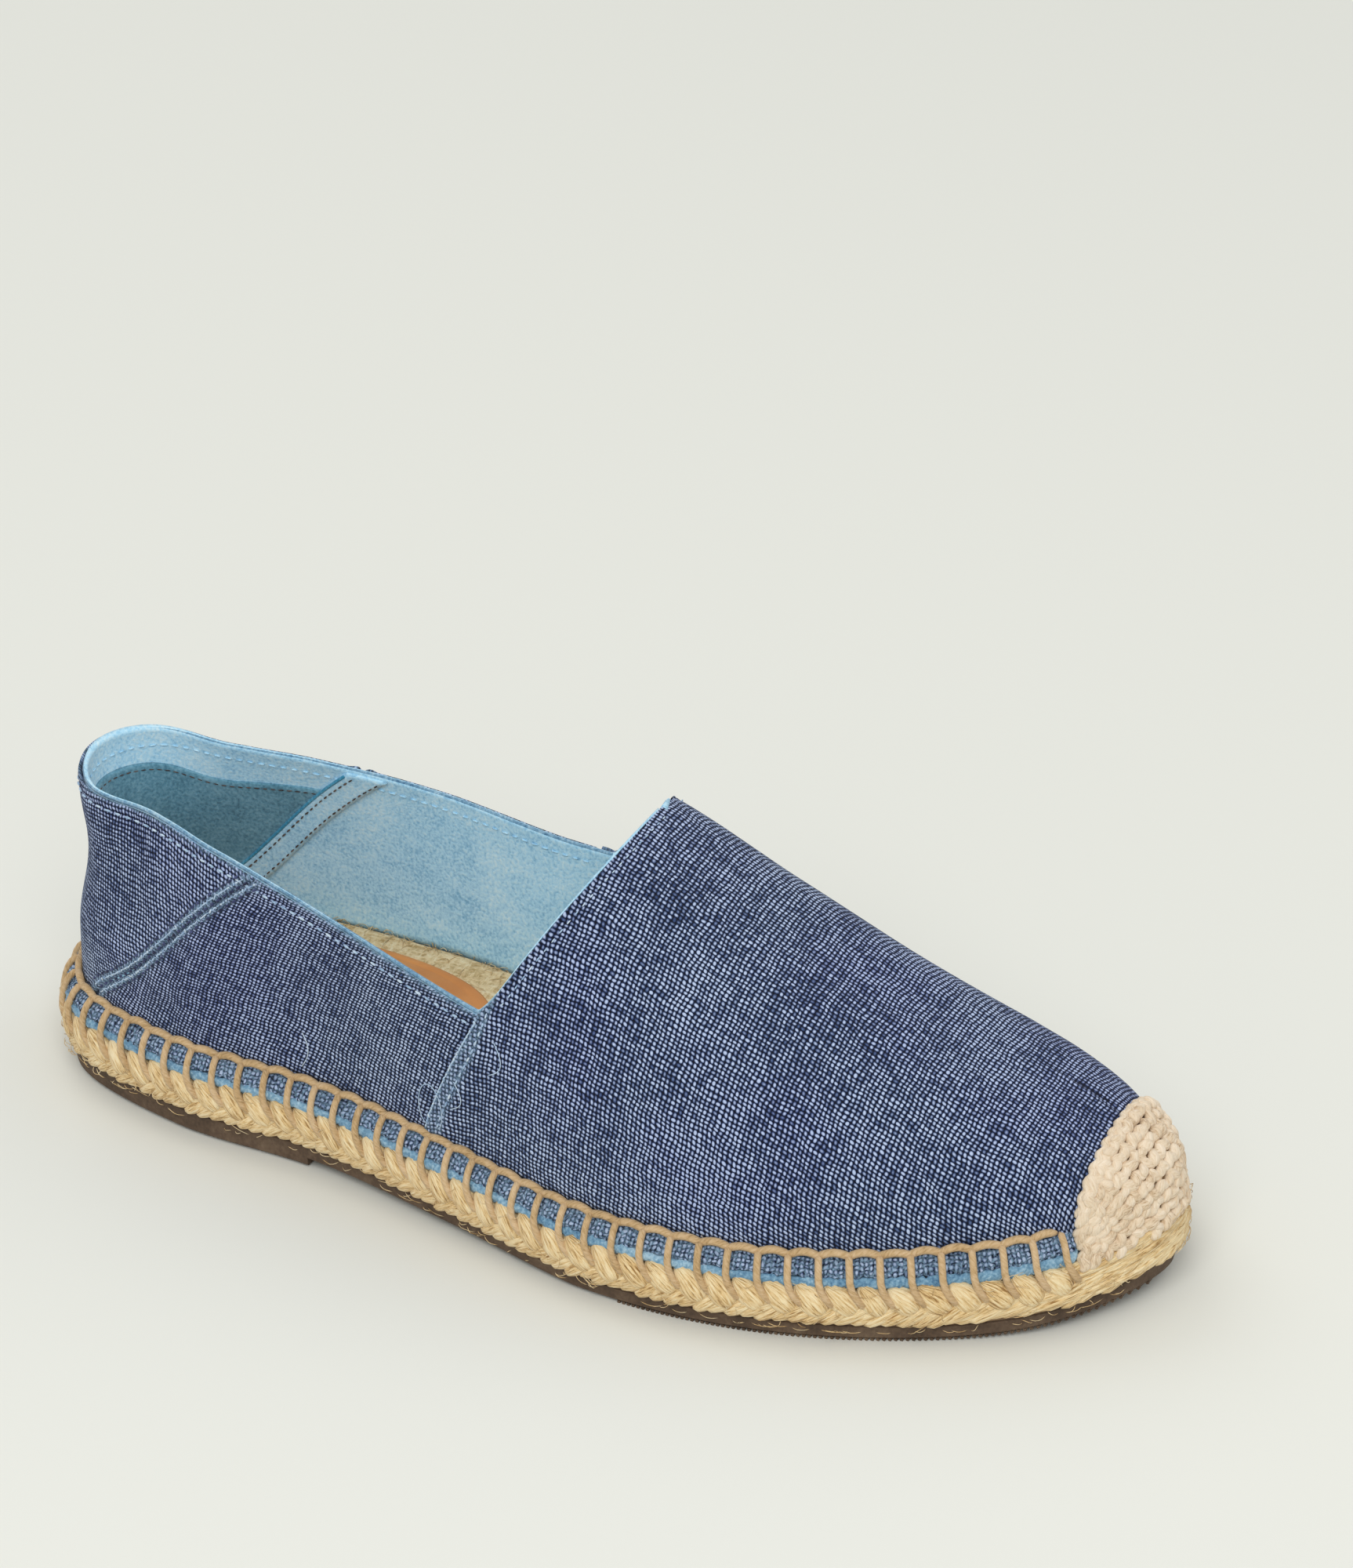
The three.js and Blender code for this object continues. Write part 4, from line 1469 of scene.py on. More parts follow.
    def panel(
        self,
        name: str,
        turn: np.ndarray,
        grow: np.ndarray,
        uv: np.ndarray,
        seam: np.ndarray,
        open_top: np.ndarray,
        edge_groove: float,
    ) -> None:
        """Makes one sheet of cloth with rounded edges and hands it over.

        Args:
            name: Name of the piece.
            turn: Grid of places round the outline, one row for each share of the rib.
            grow: How far each point stands out.
            uv: Unrolled place of each point.
            seam: How frayed each point is.
            open_top: For each column, whether its top is an edge and not the ridge.
            edge_groove: How far below the edge the stitched groove runs.
        """
        rows, columns = turn.shape
        angle = self.angles(turn)
        base = self.last.point(turn, angle, 0.0)
        drop = np.cumsum(np.linalg.norm(np.diff(base[::-1], axis=0), axis=-1), 0)[::-1]
        drop = np.concatenate([drop, np.zeros((1, columns))])
        near = np.convolve(np.pad(open_top.astype(float), 5, "edge"), np.ones(11) / 11, "valid")
        fade = np.clip(2 * near - 1, 0, 1)
        grow = grow + 0.16 * fade * np.exp(-(((drop - 1.0) / 0.9) ** 2))
        grow = grow - 0.3 * fade * np.exp(-(((drop - edge_groove) / 0.55) ** 2))
        seam = np.maximum(seam, 0.75 * fade * np.exp(-((drop / 0.7) ** 2)))
        outer = self.last.point(turn, angle, grow)
        inner = self.last.point(turn, angle, np.minimum(grow - self.thickness, -0.2))
        lip = self.last.point(turn[-1], angle[-1], grow[-1] - self.thickness / 2)
        lip = lip + np.array([0, 0, 0.12]) * open_top[:, None]
        count, high = rows * columns, (rows - 1) * columns
        column, row = np.arange(columns - 1), np.arange(rows - 1) * columns
        kept = column[open_top[:-1] | open_top[1:]]
        top, lips, under = high + kept, 2 * count + kept, count + high + kept
        end = row + columns - 1
        faces = [
            grid_faces(rows, columns),
            grid_faces(rows, columns, flip=True) + count,
            np.stack([top, top + 1, lips + 1, lips], -1),
            np.stack([lips, lips + 1, under + 1, under], -1),
            np.stack([column + 1, column, count + column, count + column + 1], -1),
            np.stack([row, row + columns, count + row + columns, count + row], -1),
            np.stack([end + columns, end, count + end, count + end + columns], -1),
        ]
        piece = mesh_piece(
            name,
            np.concatenate([outer.reshape(-1, 3), inner.reshape(-1, 3), lip]),
            np.concatenate(faces),
            np.concatenate([uv.reshape(-1, 2), uv.reshape(-1, 2), uv[-1]]),
            "weave",
            {"seam": np.concatenate([seam.ravel(), 0.4 + 0 * seam.ravel(), 0.6 + 0 * seam[-1]])},
        )
        merge_close(piece, 0.02)
        piece.data.materials.append(self.finishes.canvas)
        hand_over(piece, Slot.CANVAS, "upper")

    def rises(self) -> np.ndarray:
        """Shares of the way up a rib, closer together near the top."""
        return (1 - (1 - np.linspace(0, 1, self.rows)) ** 1.4)[:, None]

    def angles(self, turn: np.ndarray) -> np.ndarray:
        """Angles of a grid of places whose rows go up the ribs."""
        return self.rises() * np.stack([self.last.top_angle(row) for row in turn])

    @staticmethod
    def frayed(away: np.ndarray) -> np.ndarray:
        """How frayed the cloth is beside a seam that is pressed open."""
        return np.clip(np.exp(-(((np.abs(away) - 1.4) / 0.9) ** 2)) + 0.55 * np.exp(-((away / 3.2) ** 4)), 0, 1)

    @staticmethod
    def seam_swell(away: np.ndarray) -> np.ndarray:
        """Thick folded cloth beside a seam, with a groove at the seam itself."""
        return 0.4 * np.exp(-(((away - 1.7) / 1.3) ** 2)) - 0.6 * np.exp(-((away / 0.6) ** 2))

    def heel_panel(self) -> None:
        """The counter, from one slanting seam round the heel to the other."""
        up = self.rises()
        share = np.linspace(-1, 1, 135)[None, :]
        share = np.sign(share) * (1 - (1 - np.abs(share)) ** 1.4)
        turn = share * HEEL_SEAM.turn(up)
        away = (HEEL_SEAM.turn(up) - np.abs(turn)) * SIDE_LENGTH
        grow = self.relief(turn, up) + self.seam_swell(away)
        uv = self.side_weave(turn, self.angles(turn), -9.0)
        every = np.full(turn.shape[1], True)
        self.panel("canvas_heel_panel", turn, grow, uv, self.frayed(away), every, self.stitch_inset)

    def quarter(self, name: str, side: int) -> None:
        """One side of the upper, from the heel seam to a little way under the vamp.

        Args:
            name: Name of the piece.
            side: 1 for the outer side, -1 for the inner.
        """
        up = self.rises()
        start, end = HEEL_SEAM.turn(up), SIDE_SEAM.turn(up, shift_mm=4.0)
        turn = start + (end - start) * np.linspace(0, 1, 92)[None, :] ** 1.25
        away = (turn - start) * SIDE_LENGTH
        past = (turn - SIDE_SEAM.turn(up)) * SIDE_LENGTH
        real = turn if side > 0 else 2 - turn
        grow = self.relief(real, up) + self.seam_swell(away) - 0.75 * smoothstep(past, -2.0, 1.0)
        uv = self.side_weave(turn, self.angles(turn), 14.0)
        every = np.full(turn.shape[1], True)
        self.panel(name, real, grow, uv, self.frayed(away), every, self.stitch_inset)

    def vamp(self) -> None:
        """The front of the upper, in one piece over the toes, lapped over both quarters."""
        up = self.rises()
        throat = self.last.throat_turn()
        start = SIDE_SEAM.turn(up)
        back = throat - (throat - start) * np.linspace(1, 0, 52)[None, :] ** 1.8
        front = throat + (1 - throat) * np.linspace(0, 1, 112)[None, 1:]
        half = np.concatenate([back, np.broadcast_to(front, (self.rows, front.shape[1]))], 1)
        turn = np.concatenate([half, (2 - half[:, ::-1])[:, 1:]], 1)
        mirrored = np.minimum(turn, 2 - turn)
        away = (mirrored - start) * SIDE_LENGTH
        lap = self.lap * (1 - smoothstep(mirrored - start, 0.008, self.lap_end)) * (1 - 0.6 * smoothstep(up, 0.8, 1.0))
        lap = lap - 0.35 * np.exp(-(((away - 3.2) / 0.8) ** 2))
        open_top = mirrored[-1] < throat - 1e-7
        raised = smoothstep(throat - mirrored[-1:], 0.0, 0.03)
        lap = lap + 0.3 * np.exp(-(((1 - up) * RIB_LENGTH / 2.5) ** 2)) * raised
        grow = self.relief(turn, up) * smoothstep(1 - up, 0.0, 0.2) + lap
        uv = self.weave(turn, self.angles(turn))
        seam = (
            1.4 * np.exp(-((away / 0.8) ** 2))
            + 0.6 * np.exp(-(((away - 3.2) / 0.7) ** 2))
            + 0.25 * smoothstep(-away, -5.0, -3.6)
        )
        self.panel("canvas_vamp", turn, grow, uv, np.clip(seam, 0, 1), open_top, self.throat_inset)

    def band(
        self, name: str, profile: tuple[tuple[float, float], ...], rough: float, finish: bpy.types.Material, slot: Slot
    ) -> None:
        """A closed band with a rough edge, all round the shoe.

        Args:
            name: Name of the piece.
            profile: Inset and height over the rope sole's bottom, round the band's section.
            rough: How far its points wander.
            finish: Its material.
            slot: Its slot.
        """
        rng = np.random.default_rng(len(name))
        turn = np.linspace(0, 2, 761)[:-1]
        tucked = 4.0 * smoothstep(self.last.outline(turn)[:, 1], 270.5, 273.5)
        rows = []
        for inset, height in profile:
            free = rough * float(smoothstep(np.array(5.5 - inset), 0.0, 2.5))
            wander = rng.normal(0, free, (2, len(turn)))
            rows.append(self.last.side_ring(turn, inset + tucked + wander[0], height + wander[1] * 0.8))
        grid = np.stack(rows)
        count, columns = grid.shape[:2]
        ends = np.array(profile)
        around, across = np.broadcast_arrays(turn[None, :] * SIDE_LENGTH, travelled(ends)[:, None])
        column = np.arange(columns)
        right = (column + 1) % columns
        close = np.stack([(count - 1) * columns + column, (count - 1) * columns + right, right, column], -1)
        piece = mesh_piece(
            name,
            grid.reshape(-1, 3),
            np.concatenate([grid_faces(count, columns, wrap=True), close]),
            np.stack([around, across], -1).reshape(-1, 2),
            "weave",
            {"seam": np.clip(rng.normal(0.75, 0.25, count * columns), 0, 1)},
        )
        merge_close(piece, 0.005)
        piece.data.materials.append(finish)
        hand_over(piece, slot, *(["upper"] if slot is Slot.CANVAS else []))

    def hem(self) -> None:
        """The turned-out hem: frayed canvas over a cut suede edge."""
        profile = (
            (6.8, 14.0),
            (4.2, 13.2),
            (2.9, 12.5),
            (2.2, 12.6),
            (1.9, 13.1),
            (2.2, 13.8),
            (2.9, 14.5),
            (3.8, 15.3),
            (5.0, 16.2),
            (6.8, 17.2),
        )
        self.band("canvas_hem", profile, 0.3, self.finishes.canvas, Slot.CANVAS)
        profile = (
            (6.8, 10.8),
            (4.2, 10.0),
            (2.3, 9.9),
            (1.5, 10.4),
            (1.35, 11.2),
            (1.5, 12.2),
            (2.0, 12.7),
            (3.0, 12.5),
            (6.8, 13.7),
        )
        self.band("suede_hem_edge", profile, 0.2, self.finishes.edge_suede, Slot.SUEDE)

    def seam_row(self, seam: Seam, side: int, shift_mm: float, stand: float) -> tuple[np.ndarray, np.ndarray]:
        """Points and outward directions of a line beside a seam.

        Args:
            seam: The seam.
            side: 1 for the outer side, -1 for the inner.
            shift_mm: How far in front of the seam the line is.
            stand: How far it stands out.

        Returns:
            The line and its directions.
        """
        up = np.linspace(0.03, 0.975, 200)
        turn = seam.turn(up, side, shift_mm)
        angle = up * self.last.top_angle(turn)
        line = self.last.point(turn, angle, stand + self.relief(turn, up))
        return line, self.last.normals(turn, angle)

    def stitching(self) -> None:
        """Topline and throat rows, and the rows beside each seam."""
        corner = float(SIDE_SEAM.turn(np.array(0.96)))
        turn = np.linspace(-corner, corner, 900)
        angle = self.last.top_angle(turn, down=self.stitch_inset)
        topline = (self.last.point(turn, angle, -0.15), self.last.normals(turn, angle))
        inside = (self.last.point(turn, angle, -2.05), -self.last.normals(turn, angle))
        self.needle.sew("topline_stitches", [topline], self.finishes.pale_thread, Stitch(2.7, 1.95, 0.6, 0.6))
        self.needle.sew("lining_edge_stitches", [inside], self.finishes.suede, Stitch(2.7, 1.9, 0.4, 0.4))
        ahead = self.throat_inset
        peak = self.last.throat_turn(ahead)
        turn = peak - (peak - SIDE_SEAM.turn(np.array(1.0)) - 0.012) * np.linspace(1, 0, 300) ** 1.8
        rows = []
        for side in (1, -1):
            real = turn if side > 0 else 2 - turn
            angle = self.last.top_angle(real, ahead=ahead)
            line = self.last.point(real, angle, 0.05)
            rows.append((line[::side], self.last.normals(real, angle)[::side]))
        fine = Stitch(2.7, 1.5, 0.35, 0.35)
        self.needle.sew("throat_stitches", rows, self.finishes.pale_thread, fine)
        both = (1, -1)
        rows = [self.seam_row(HEEL_SEAM, side, shift, 0.3) for side in both for shift in (-3.0, 0.0, 3.0)]
        self.needle.sew("heel_seam_stitches", rows, self.finishes.navy_thread, Stitch(2.2, 1.6, 0.7, 0.5, 0.05, 0.15))
        rows = [self.seam_row(HEEL_SEAM, side, shift, 0.36) for side in both for shift in (-1.5, 1.5)]
        self.needle.sew("heel_seam_fray", rows, self.finishes.pale_thread, Stitch(0.9, 1.5, 0.45, 0.4, 0.15, 0.8))
        rows = [self.seam_row(SIDE_SEAM, side, 0.25, 0.75) for side in both]
        self.needle.sew("vamp_raw_edge", rows, self.finishes.pale_thread, Stitch(0.8, 1.3, 0.5, 0.5, 0.2, 0.5))
        rows = [self.seam_row(SIDE_SEAM, side, 3.2, 0.5) for side in both]
        self.needle.sew("vamp_seam_stitches", rows, self.finishes.pale_thread, Stitch(2.4, 1.7, 0.5, 0.5))

    def loose_threads(self) -> None:
        """A loop left at the foot of the side seam and a few stray ends of thread."""
        foot = float(SIDE_SEAM.turn(np.array(0.03)))
        share = np.linspace(0, 1, 24)
        loop_turn = foot + (2.6 * np.sin(2 * np.pi * share) + 4.0 - 3.0 * share) / SIDE_LENGTH
        loop = self.last.point(loop_turn, 0.03 + 0.06 * (1 - np.cos(2 * np.pi * share)), 1.1 + 0.7 * np.sin(np.pi * share))
        lines = [loop]
        for turn, angle, length, rise in ((0.30, 0.02, 2.5, 0.09), (0.462, 0.28, 4.0, 0.12), (0.43, 0.1, 4.0, 0.1)):
            at = turn + np.sin(share * 3) * length / SIDE_LENGTH
            lines.append(self.last.point(at, angle + rise * share, 0.35 + 0.9 * np.sin(np.pi * share)))
        piece = self.winder.wind("loose_threads", lines, 0.12, self.finishes.pale_thread, 4, 0.5, 5)
        hand_over(piece, Slot.SEWING)


@dataclass
class SuedeLining:
    """The lining: one sheet all round, a heel grip, seam tapes, and a narrow rolled edge."""

    last: Last
    finishes: Finishes
    needle: Needle
    winder: Winder
    outer_grow: float = -1.0
    inner_grow: float = -2.0
    rows: int = 44

    def sheet(
        self,
        name: str,
        turn: np.ndarray,
        up: np.ndarray,
        grows: tuple[float, float],
        material: bpy.types.Material,
        closed_from: float | None = None,
    ) -> bpy.types.Object:
        """A closed sheet between two growths of the last.

        Args:
            name: Name of the piece.
            turn: Grid of places round the outline.
            up: Grid of shares of the way up each rib.
            grows: Growth of its outer and of its inner face.
            material: Finish.
            closed_from: The throat's turn, for a sheet that goes all the way round.

        Returns:
            The sheet.
        """
        rows, columns = turn.shape
        wrap = closed_from is not None
        open_top = np.minimum(turn[-1], 2 - turn[-1]) < (closed_from if wrap else 2) - 1e-7
        angle = up * np.stack([self.last.top_angle(row, grows[1]) for row in turn])
        points = [self.last.point(turn, angle, grow).reshape(-1, 3) for grow in grows]
        count, high = rows * columns, (rows - 1) * columns
        column = np.arange(columns if wrap else columns - 1)
        right = (column + 1) % columns
        kept = open_top[column] | open_top[right]
        c, r = high + column[kept], high + right[kept]
        faces = [
            grid_faces(rows, columns, wrap),
            grid_faces(rows, columns, wrap, True) + count,
            np.stack([c, r, count + r, count + c], -1),
            np.stack([right, column, count + column, count + right], -1),
        ]
        if not wrap:
            row = np.arange(rows - 1) * columns
            end = row + columns - 1
            faces.append(np.stack([row, row + columns, count + row + columns, count + row], -1))
            faces.append(np.stack([end + columns, end, count + end, count + end + columns], -1))
        piece = mesh_piece(name, np.concatenate(points), np.concatenate(faces))
        merge_close(piece, 0.02)
        piece.data.materials.append(material)
        return piece

    def build(self) -> None:
        """Makes the sheet, the grip, the tapes, the rolled edge and their sewing."""
        throat = self.last.throat_turn()
        back = throat - throat * np.linspace(1, 0, 120) ** 1.5
        half = np.concatenate([back, throat + (1 - throat) * np.linspace(0, 1, 80)[1:]])
        line = np.concatenate([half, (2 - half[::-1])[1:-1]])
        up, turn = np.broadcast_arrays(np.linspace(0, 1, self.rows)[:, None], line[None, :])
        grows = (self.outer_grow, self.inner_grow)
        piece = self.sheet("suede_lining", turn, up, grows, self.finishes.suede, throat)
        hand_over(piece, Slot.SUEDE, "upper")
        self.heel_grip()
        self.tapes()
        self.rolled_edge()

    def inner_row(self, turn: np.ndarray, up: np.ndarray, grow: float) -> tuple[np.ndarray, np.ndarray]:
        """Points and inward directions of a line on the lining."""
        angle = up * self.last.top_angle(turn, self.inner_grow)
        return self.last.point(turn, angle, grow), -self.last.normals(turn, angle, self.inner_grow)

    def heel_grip(self) -> None:
        """A grip sewn round the inside of the heel, its top a little below the collar."""
        share = np.linspace(-1, 1, 100)[None, :]
        up = np.linspace(0, 1, 30)[:, None] * (0.73 - 0.05 * np.cos(share * np.pi))
        turn = share * HEEL_SEAM.turn(up)
        # The grip's darker finish is partly its own tone and partly painted shade.
        piece = self.sheet("suede_heel_grip", turn, up, (-1.9, -2.5), self.finishes.grip_suede_partly_painted_shade)
        hand_over(piece, Slot.SUEDE)
        row = self.inner_row(turn[-1], up[-1] - 0.02, -2.5)
        self.needle.sew("grip_stitches", [row], self.finishes.brown_thread, Stitch(2.0, 1.5, 0.3, 0.3))

    def tapes(self) -> None:
        """A slanting tape over each inside heel seam, with two rows of stitches and a bright edge."""
        up = np.linspace(0, 0.975, 40)[:, None]
        rows, edges = [], []
        for label, side in (("outer", 1), ("inner", -1)):
            turn = np.concatenate([HEEL_SEAM.turn(up, side, mm) for mm in np.linspace(-2.0, 8.0, 7)], 1)
            wide = np.broadcast_to(up, turn.shape)
            piece = self.sheet(f"suede_seam_tape_{label}", turn, wide, (-1.9, -2.7), self.finishes.suede)
            hand_over(piece, Slot.SUEDE)
            for shift_mm in (0.0, 6.4):
                rows.append(self.inner_row(HEEL_SEAM.turn(up[:, 0], side, shift_mm), up[:, 0], -2.7))
            edges.append(self.inner_row(HEEL_SEAM.turn(up[:, 0], side, -2.2), up[:, 0], -2.5)[0])
        self.needle.sew("tape_stitches", rows, self.finishes.brown_thread, Stitch(2.0, 1.5, 0.45, 0.4))
        piece = self.winder.wind("tape_dyed_edge", edges, 0.45, self.finishes.bright_suede, 6, 0.5, 3)
        hand_over(piece, Slot.SUEDE)

    def rolled_edge(self) -> None:
        """The lining's edge, rolled just over the top of the canvas all round the opening."""
        throat = self.last.throat_turn()
        corner = float(SIDE_SEAM.turn(np.array(1.0)))
        collar = np.linspace(-corner - 0.012, corner + 0.012, 500)
        front = throat - (throat - corner) * np.linspace(1, 0, 160) ** 1.8
        front = np.concatenate([front, 2 - front[::-1][1:]])
        for name, turn, radius, drop in (("collar", collar, 0.55, 0.0), ("throat", front, 0.4, 0.55)):
            top = self.last.top_angle(turn, -1.3)
            line = self.last.point(turn, top, -1.3) - np.array([0, 0, drop])
            gone = travelled(line)
            even = sample(line, gone, np.arange(0, gone[-1], 1.1))
            piece = self.winder.wind(f"suede_{name}_edge", [even], radius, self.finishes.edge_suede, 8, 0.5, 3)
            hand_over(piece, Slot.SUEDE)


# ---------------------------------------------------------------- the sole


@dataclass
class BlanketStitch:
    """Jute thread that holds the upper to the rope sole: a cord in the crease, with legs."""

    last: Last
    finishes: Finishes
    winder: Winder
    pitch: float = 6.8
    cord_radius: float = 0.95
    leg_radius: float = 0.85
    cap_along: float = 269.0
    path: tuple[tuple[float, float, float], ...] = (
        (0.0, 4.9, 17.0),
        (0.1, 3.7, 16.6),
        (0.2, 2.4, 15.4),
        (0.3, 1.5, 13.8),
        (0.4, 0.9, 12.0),
        (0.9, 0.5, 10.2),
        (1.9, 0.3, 8.4),
        (3.2, 0.6, 6.6),
        (4.2, 1.6, 5.2),
    )

    def legs_at(self) -> np.ndarray:
        """Turns of the legs, from the outer side of the cap round the heel to its inner side."""
        turn = np.linspace(-1, 1, 4001)
        turn = turn[self.last.outline(turn)[:, 1] <= self.cap_along]
        gone = travelled(self.last.ring(turn, np.full_like(turn, 4.0), 0 * turn))
        count = int(round(gone[-1] / self.pitch))
        return np.interp(np.linspace(0, gone[-1], count + 1), gone, turn)

    def build(self) -> None:
        """Makes the cord and the legs."""
        rng = np.random.default_rng(5)
        legs = self.legs_at()
        steps = np.arange(8 * (len(legs) - 1) + 1)
        turn = np.interp(steps / 8, np.arange(len(legs)), legs)
        arch = np.sin(np.pi * (steps % 8) / 8)
        bow = rng.uniform(0.5, 1.0, len(legs))[steps // 8]
        line = self.last.side_ring(turn, 4.7 + 0.1 * arch, 16.6 + bow * arch)
        thread = self.finishes.jute_thread
        piece = self.winder.wind("blanket_stitch_cord", [line], self.cord_radius, thread, 8, 2.0, 2)
        hand_over(piece, Slot.JUTE_THREAD)
        lines = []
        step = np.array(self.path)
        for at in legs:
            lean = rng.uniform(-0.35, 0.35) * (17.0 - step[:, 2]) / 11.0
            lines.append(self.last.side_ring(at + (step[:, 0] + lean) / SIDE_LENGTH, step[:, 1], step[:, 2]))
        piece = self.winder.wind("blanket_stitch_legs", lines, self.leg_radius, thread, 8, 0.6, 4)
        hand_over(piece, Slot.JUTE_THREAD)


@dataclass
class RopeSole:
    """Plaited jute rope: a core, fat strands above, slanting strands below, and stray fibres."""

    last: Last
    finishes: Finishes
    repeater: Repeater
    winder: Winder
    stitch: BlanketStitch
    toe_along: float = 262.0
    core_profile: tuple[tuple[float, float], ...] = (
        (2.9, 0.0),
        (2.2, 1.2),
        (2.0, 3.5),
        (2.0, 6.0),
        (2.0, 8.5),
        (2.6, 10.4),
        (5.5, 12.4),
        (9.0, 14.9),
    )

    def build(self) -> None:
        """Makes the core, both rows of strands, the toe strands and the fibres."""
        self.core()
        self.strands()
        self.toe_strands()
        self.fibres()

    def core(self) -> None:
        """The body of the sole, which the strands lie on, painted dark brown as the shade behind and between them."""
        turn = np.linspace(0, 2, 361)[:-1]
        spine = self.last.spine(turn)
        layers = [self.last.ring(turn, np.full_like(turn, i), ROPE_FOOT + h) for i, h in self.core_profile]
        for (inset, height), shares in ((self.core_profile[0], (0.5, 1.0)), (self.core_profile[-1], (0.5, 1.0))):
            plan = self.last.outline(turn) + self.last.inward(turn) * inset
            for share in shares:
                at = plan + (spine - plan) * share
                layer = self.last.place(at, ROPE_FOOT + height + self.last.lift(at[:, 1]))
                layers.insert(0 if height == 0 else len(layers), layer)
        grid = np.stack(layers)
        across, around = np.broadcast_arrays(np.arange(len(grid))[:, None] * 2.0, turn[None, :] * SIDE_LENGTH)
        uv = np.stack([across, around], -1).reshape(-1, 2)
        faces = grid_faces(len(grid), len(turn), wrap=True)
        tint = {"tint": np.full(across.size, 0.5)}
        piece = mesh_piece("rope_core", grid.reshape(-1, 3), faces, uv, "fibre", tint)
        merge_close(piece, 0.01)
        # Painted shade: the core is coloured dark so that the gaps between the strands read as shadow.
        piece.data.materials.append(self.finishes.rope_core)
        hand_over(piece, Slot.ROPE, "midsole")

    def row(
        self, name: str, turn: np.ndarray, inset: float, height: float, lean: np.ndarray, size: np.ndarray, shape: bpy.types.Object
    ) -> None:
        """Lays one row of strands along the sole's side.

        Args:
            name: Name of the piece.
            turn: Place of each strand.
            inset: How far in their middles are.
            height: Height of their middles over the rope's foot.
            lean: Lean of each from upright, its top forwards, in degrees.
            size: Scale of each on its own axes.
            shape: The strand.
        """
        ends = [self.last.side_ring(turn + step, inset, height) for step in (-0.002, 0, 0.002)]
        ahead = unit(ends[2] - ends[0])
        inward = self.last.inward(turn)
        out = unit(np.stack([-inward[:, 0], inward[:, 1], 0 * turn], -1))
        upward = np.cross(out, ahead)
        upward = unit(upward * np.sign(upward[:, 2:3]))
        slope = np.radians(lean)[:, None]
        run = ahead * np.sin(slope) + upward * np.cos(slope)
        facing = unit(out + 0.1 * upward + 0.14 * ahead * np.sign(slope))
        piece = self.repeater.lay(name, ends[1], run, facing, size, shape, self.finishes.rope, 0.08, 0.03, 21)
        hand_over(piece, Slot.ROPE)

    def strands(self) -> None:
        """A fat strand between each pair of legs, and flatter ones below that lie down at the toe."""
        rng = np.random.default_rng(12)
        legs = self.stitch.legs_at()
        turn = (legs[1:] + legs[:-1]) / 2 + 1.7 / SIDE_LENGTH
        shape = strand_shape("upper_strand_shape", 10.0, 7.2, 4.6, 0.5, 0.3, 12, 12, 0.42)
        size = rng.uniform(0.94, 1.06, (len(turn), 3))
        self.row("rope_upper_strands", turn, 1.9, 7.1, -rng.uniform(34, 46, len(turn)), size, shape)
        turn = np.linspace(0, 2, 6001)
        gone = travelled(self.last.ring(turn, np.full_like(turn, 1.5), 7.0 + 0 * turn))
        at = np.interp(np.arange(0, gone[-1] - 2.0, 3.6), gone, turn)
        flat = smoothstep(self.last.outline(at)[:, 1], 225.0, 274.0)
        lean = 58 + 14 * flat + rng.uniform(-5, 5, len(at))
        size = rng.uniform(0.93, 1.07, (len(at), 3)) * np.stack([1 + 0 * flat, 1 + 0 * flat, 1 + 0.5 * flat], -1)
        shape = strand_shape("lower_strand_shape", 10.8, 4.2, 3.2, 0.4, -0.15, 10, 10, 0.5)
        self.row("rope_lower_strands", at, 2.1, 3.5, lean, size, shape)

    def toe_strands(self) -> None:
        """Long strands that sweep round the toe and up under the cap."""
        rng = np.random.default_rng(77)
        turn = np.linspace(0, 2, 8001)
        toe = turn[self.last.outline(turn)[:, 1] > self.toe_along]
        low, high = toe.min(), toe.max()
        gap = 12.0 / SIDE_LENGTH
        lines = []
        for level in range(5):
            for start in np.arange(low - gap + level * 0.004, high, gap):
                at = start + rng.uniform(26, 34) / SIDE_LENGTH * np.linspace(0, 1, 14)
                at = at[(at > low - 0.012) & (at < high + 0.012)]
                if len(at) < 6:
                    continue
                share = np.linspace(0, 1, len(at))
                height = 1.8 + level * 1.6 + 2.3 * share + rng.uniform(-0.25, 0.25)
                inset = 2.2 - 0.8 * np.sin(np.pi * share) + rng.uniform(-0.2, 0.2) + 0.12 * level
                lines.append(self.last.side_ring(at, inset, height))
        piece = self.winder.wind("rope_toe_strands", lines, 1.2, self.finishes.rope, 8, 5.0, 8)
        hand_over(piece, Slot.ROPE)

    def fibres(self) -> None:
        """Stray jute fibres that stand off the rope and curl over the rubber."""
        rng = np.random.default_rng(99)
        lines = []
        share = np.linspace(0, 1, 7)
        for _ in range(560):
            height = rng.uniform(-0.6, 2.0) if rng.uniform() < 0.5 else rng.uniform(3, 11)
            length = rng.uniform(2.5, 8.0) * rng.choice([-1, 1])
            heading = rng.uniform(-0.9, 0.9) + rng.uniform(-1.8, 1.8) * share
            turn = rng.uniform(0, 2) + np.cumsum(np.cos(heading)) * length / 7 / SIDE_LENGTH
            level = np.clip(height + np.cumsum(np.sin(heading)) * abs(length) / 10, -1.6, 12.0)
            inset = 0.5 - 0.75 * np.sin(np.pi * share) + 2.2 * np.clip(-level / 1.5, 0, 1)
            lines.append(self.last.side_ring(np.mod(turn, 2), inset, level))
        piece = self.winder.wind("rope_stray_fibres", lines, 0.085, self.finishes.rope, 3, 0.5, 6)
        hand_over(piece, Slot.ROPE)


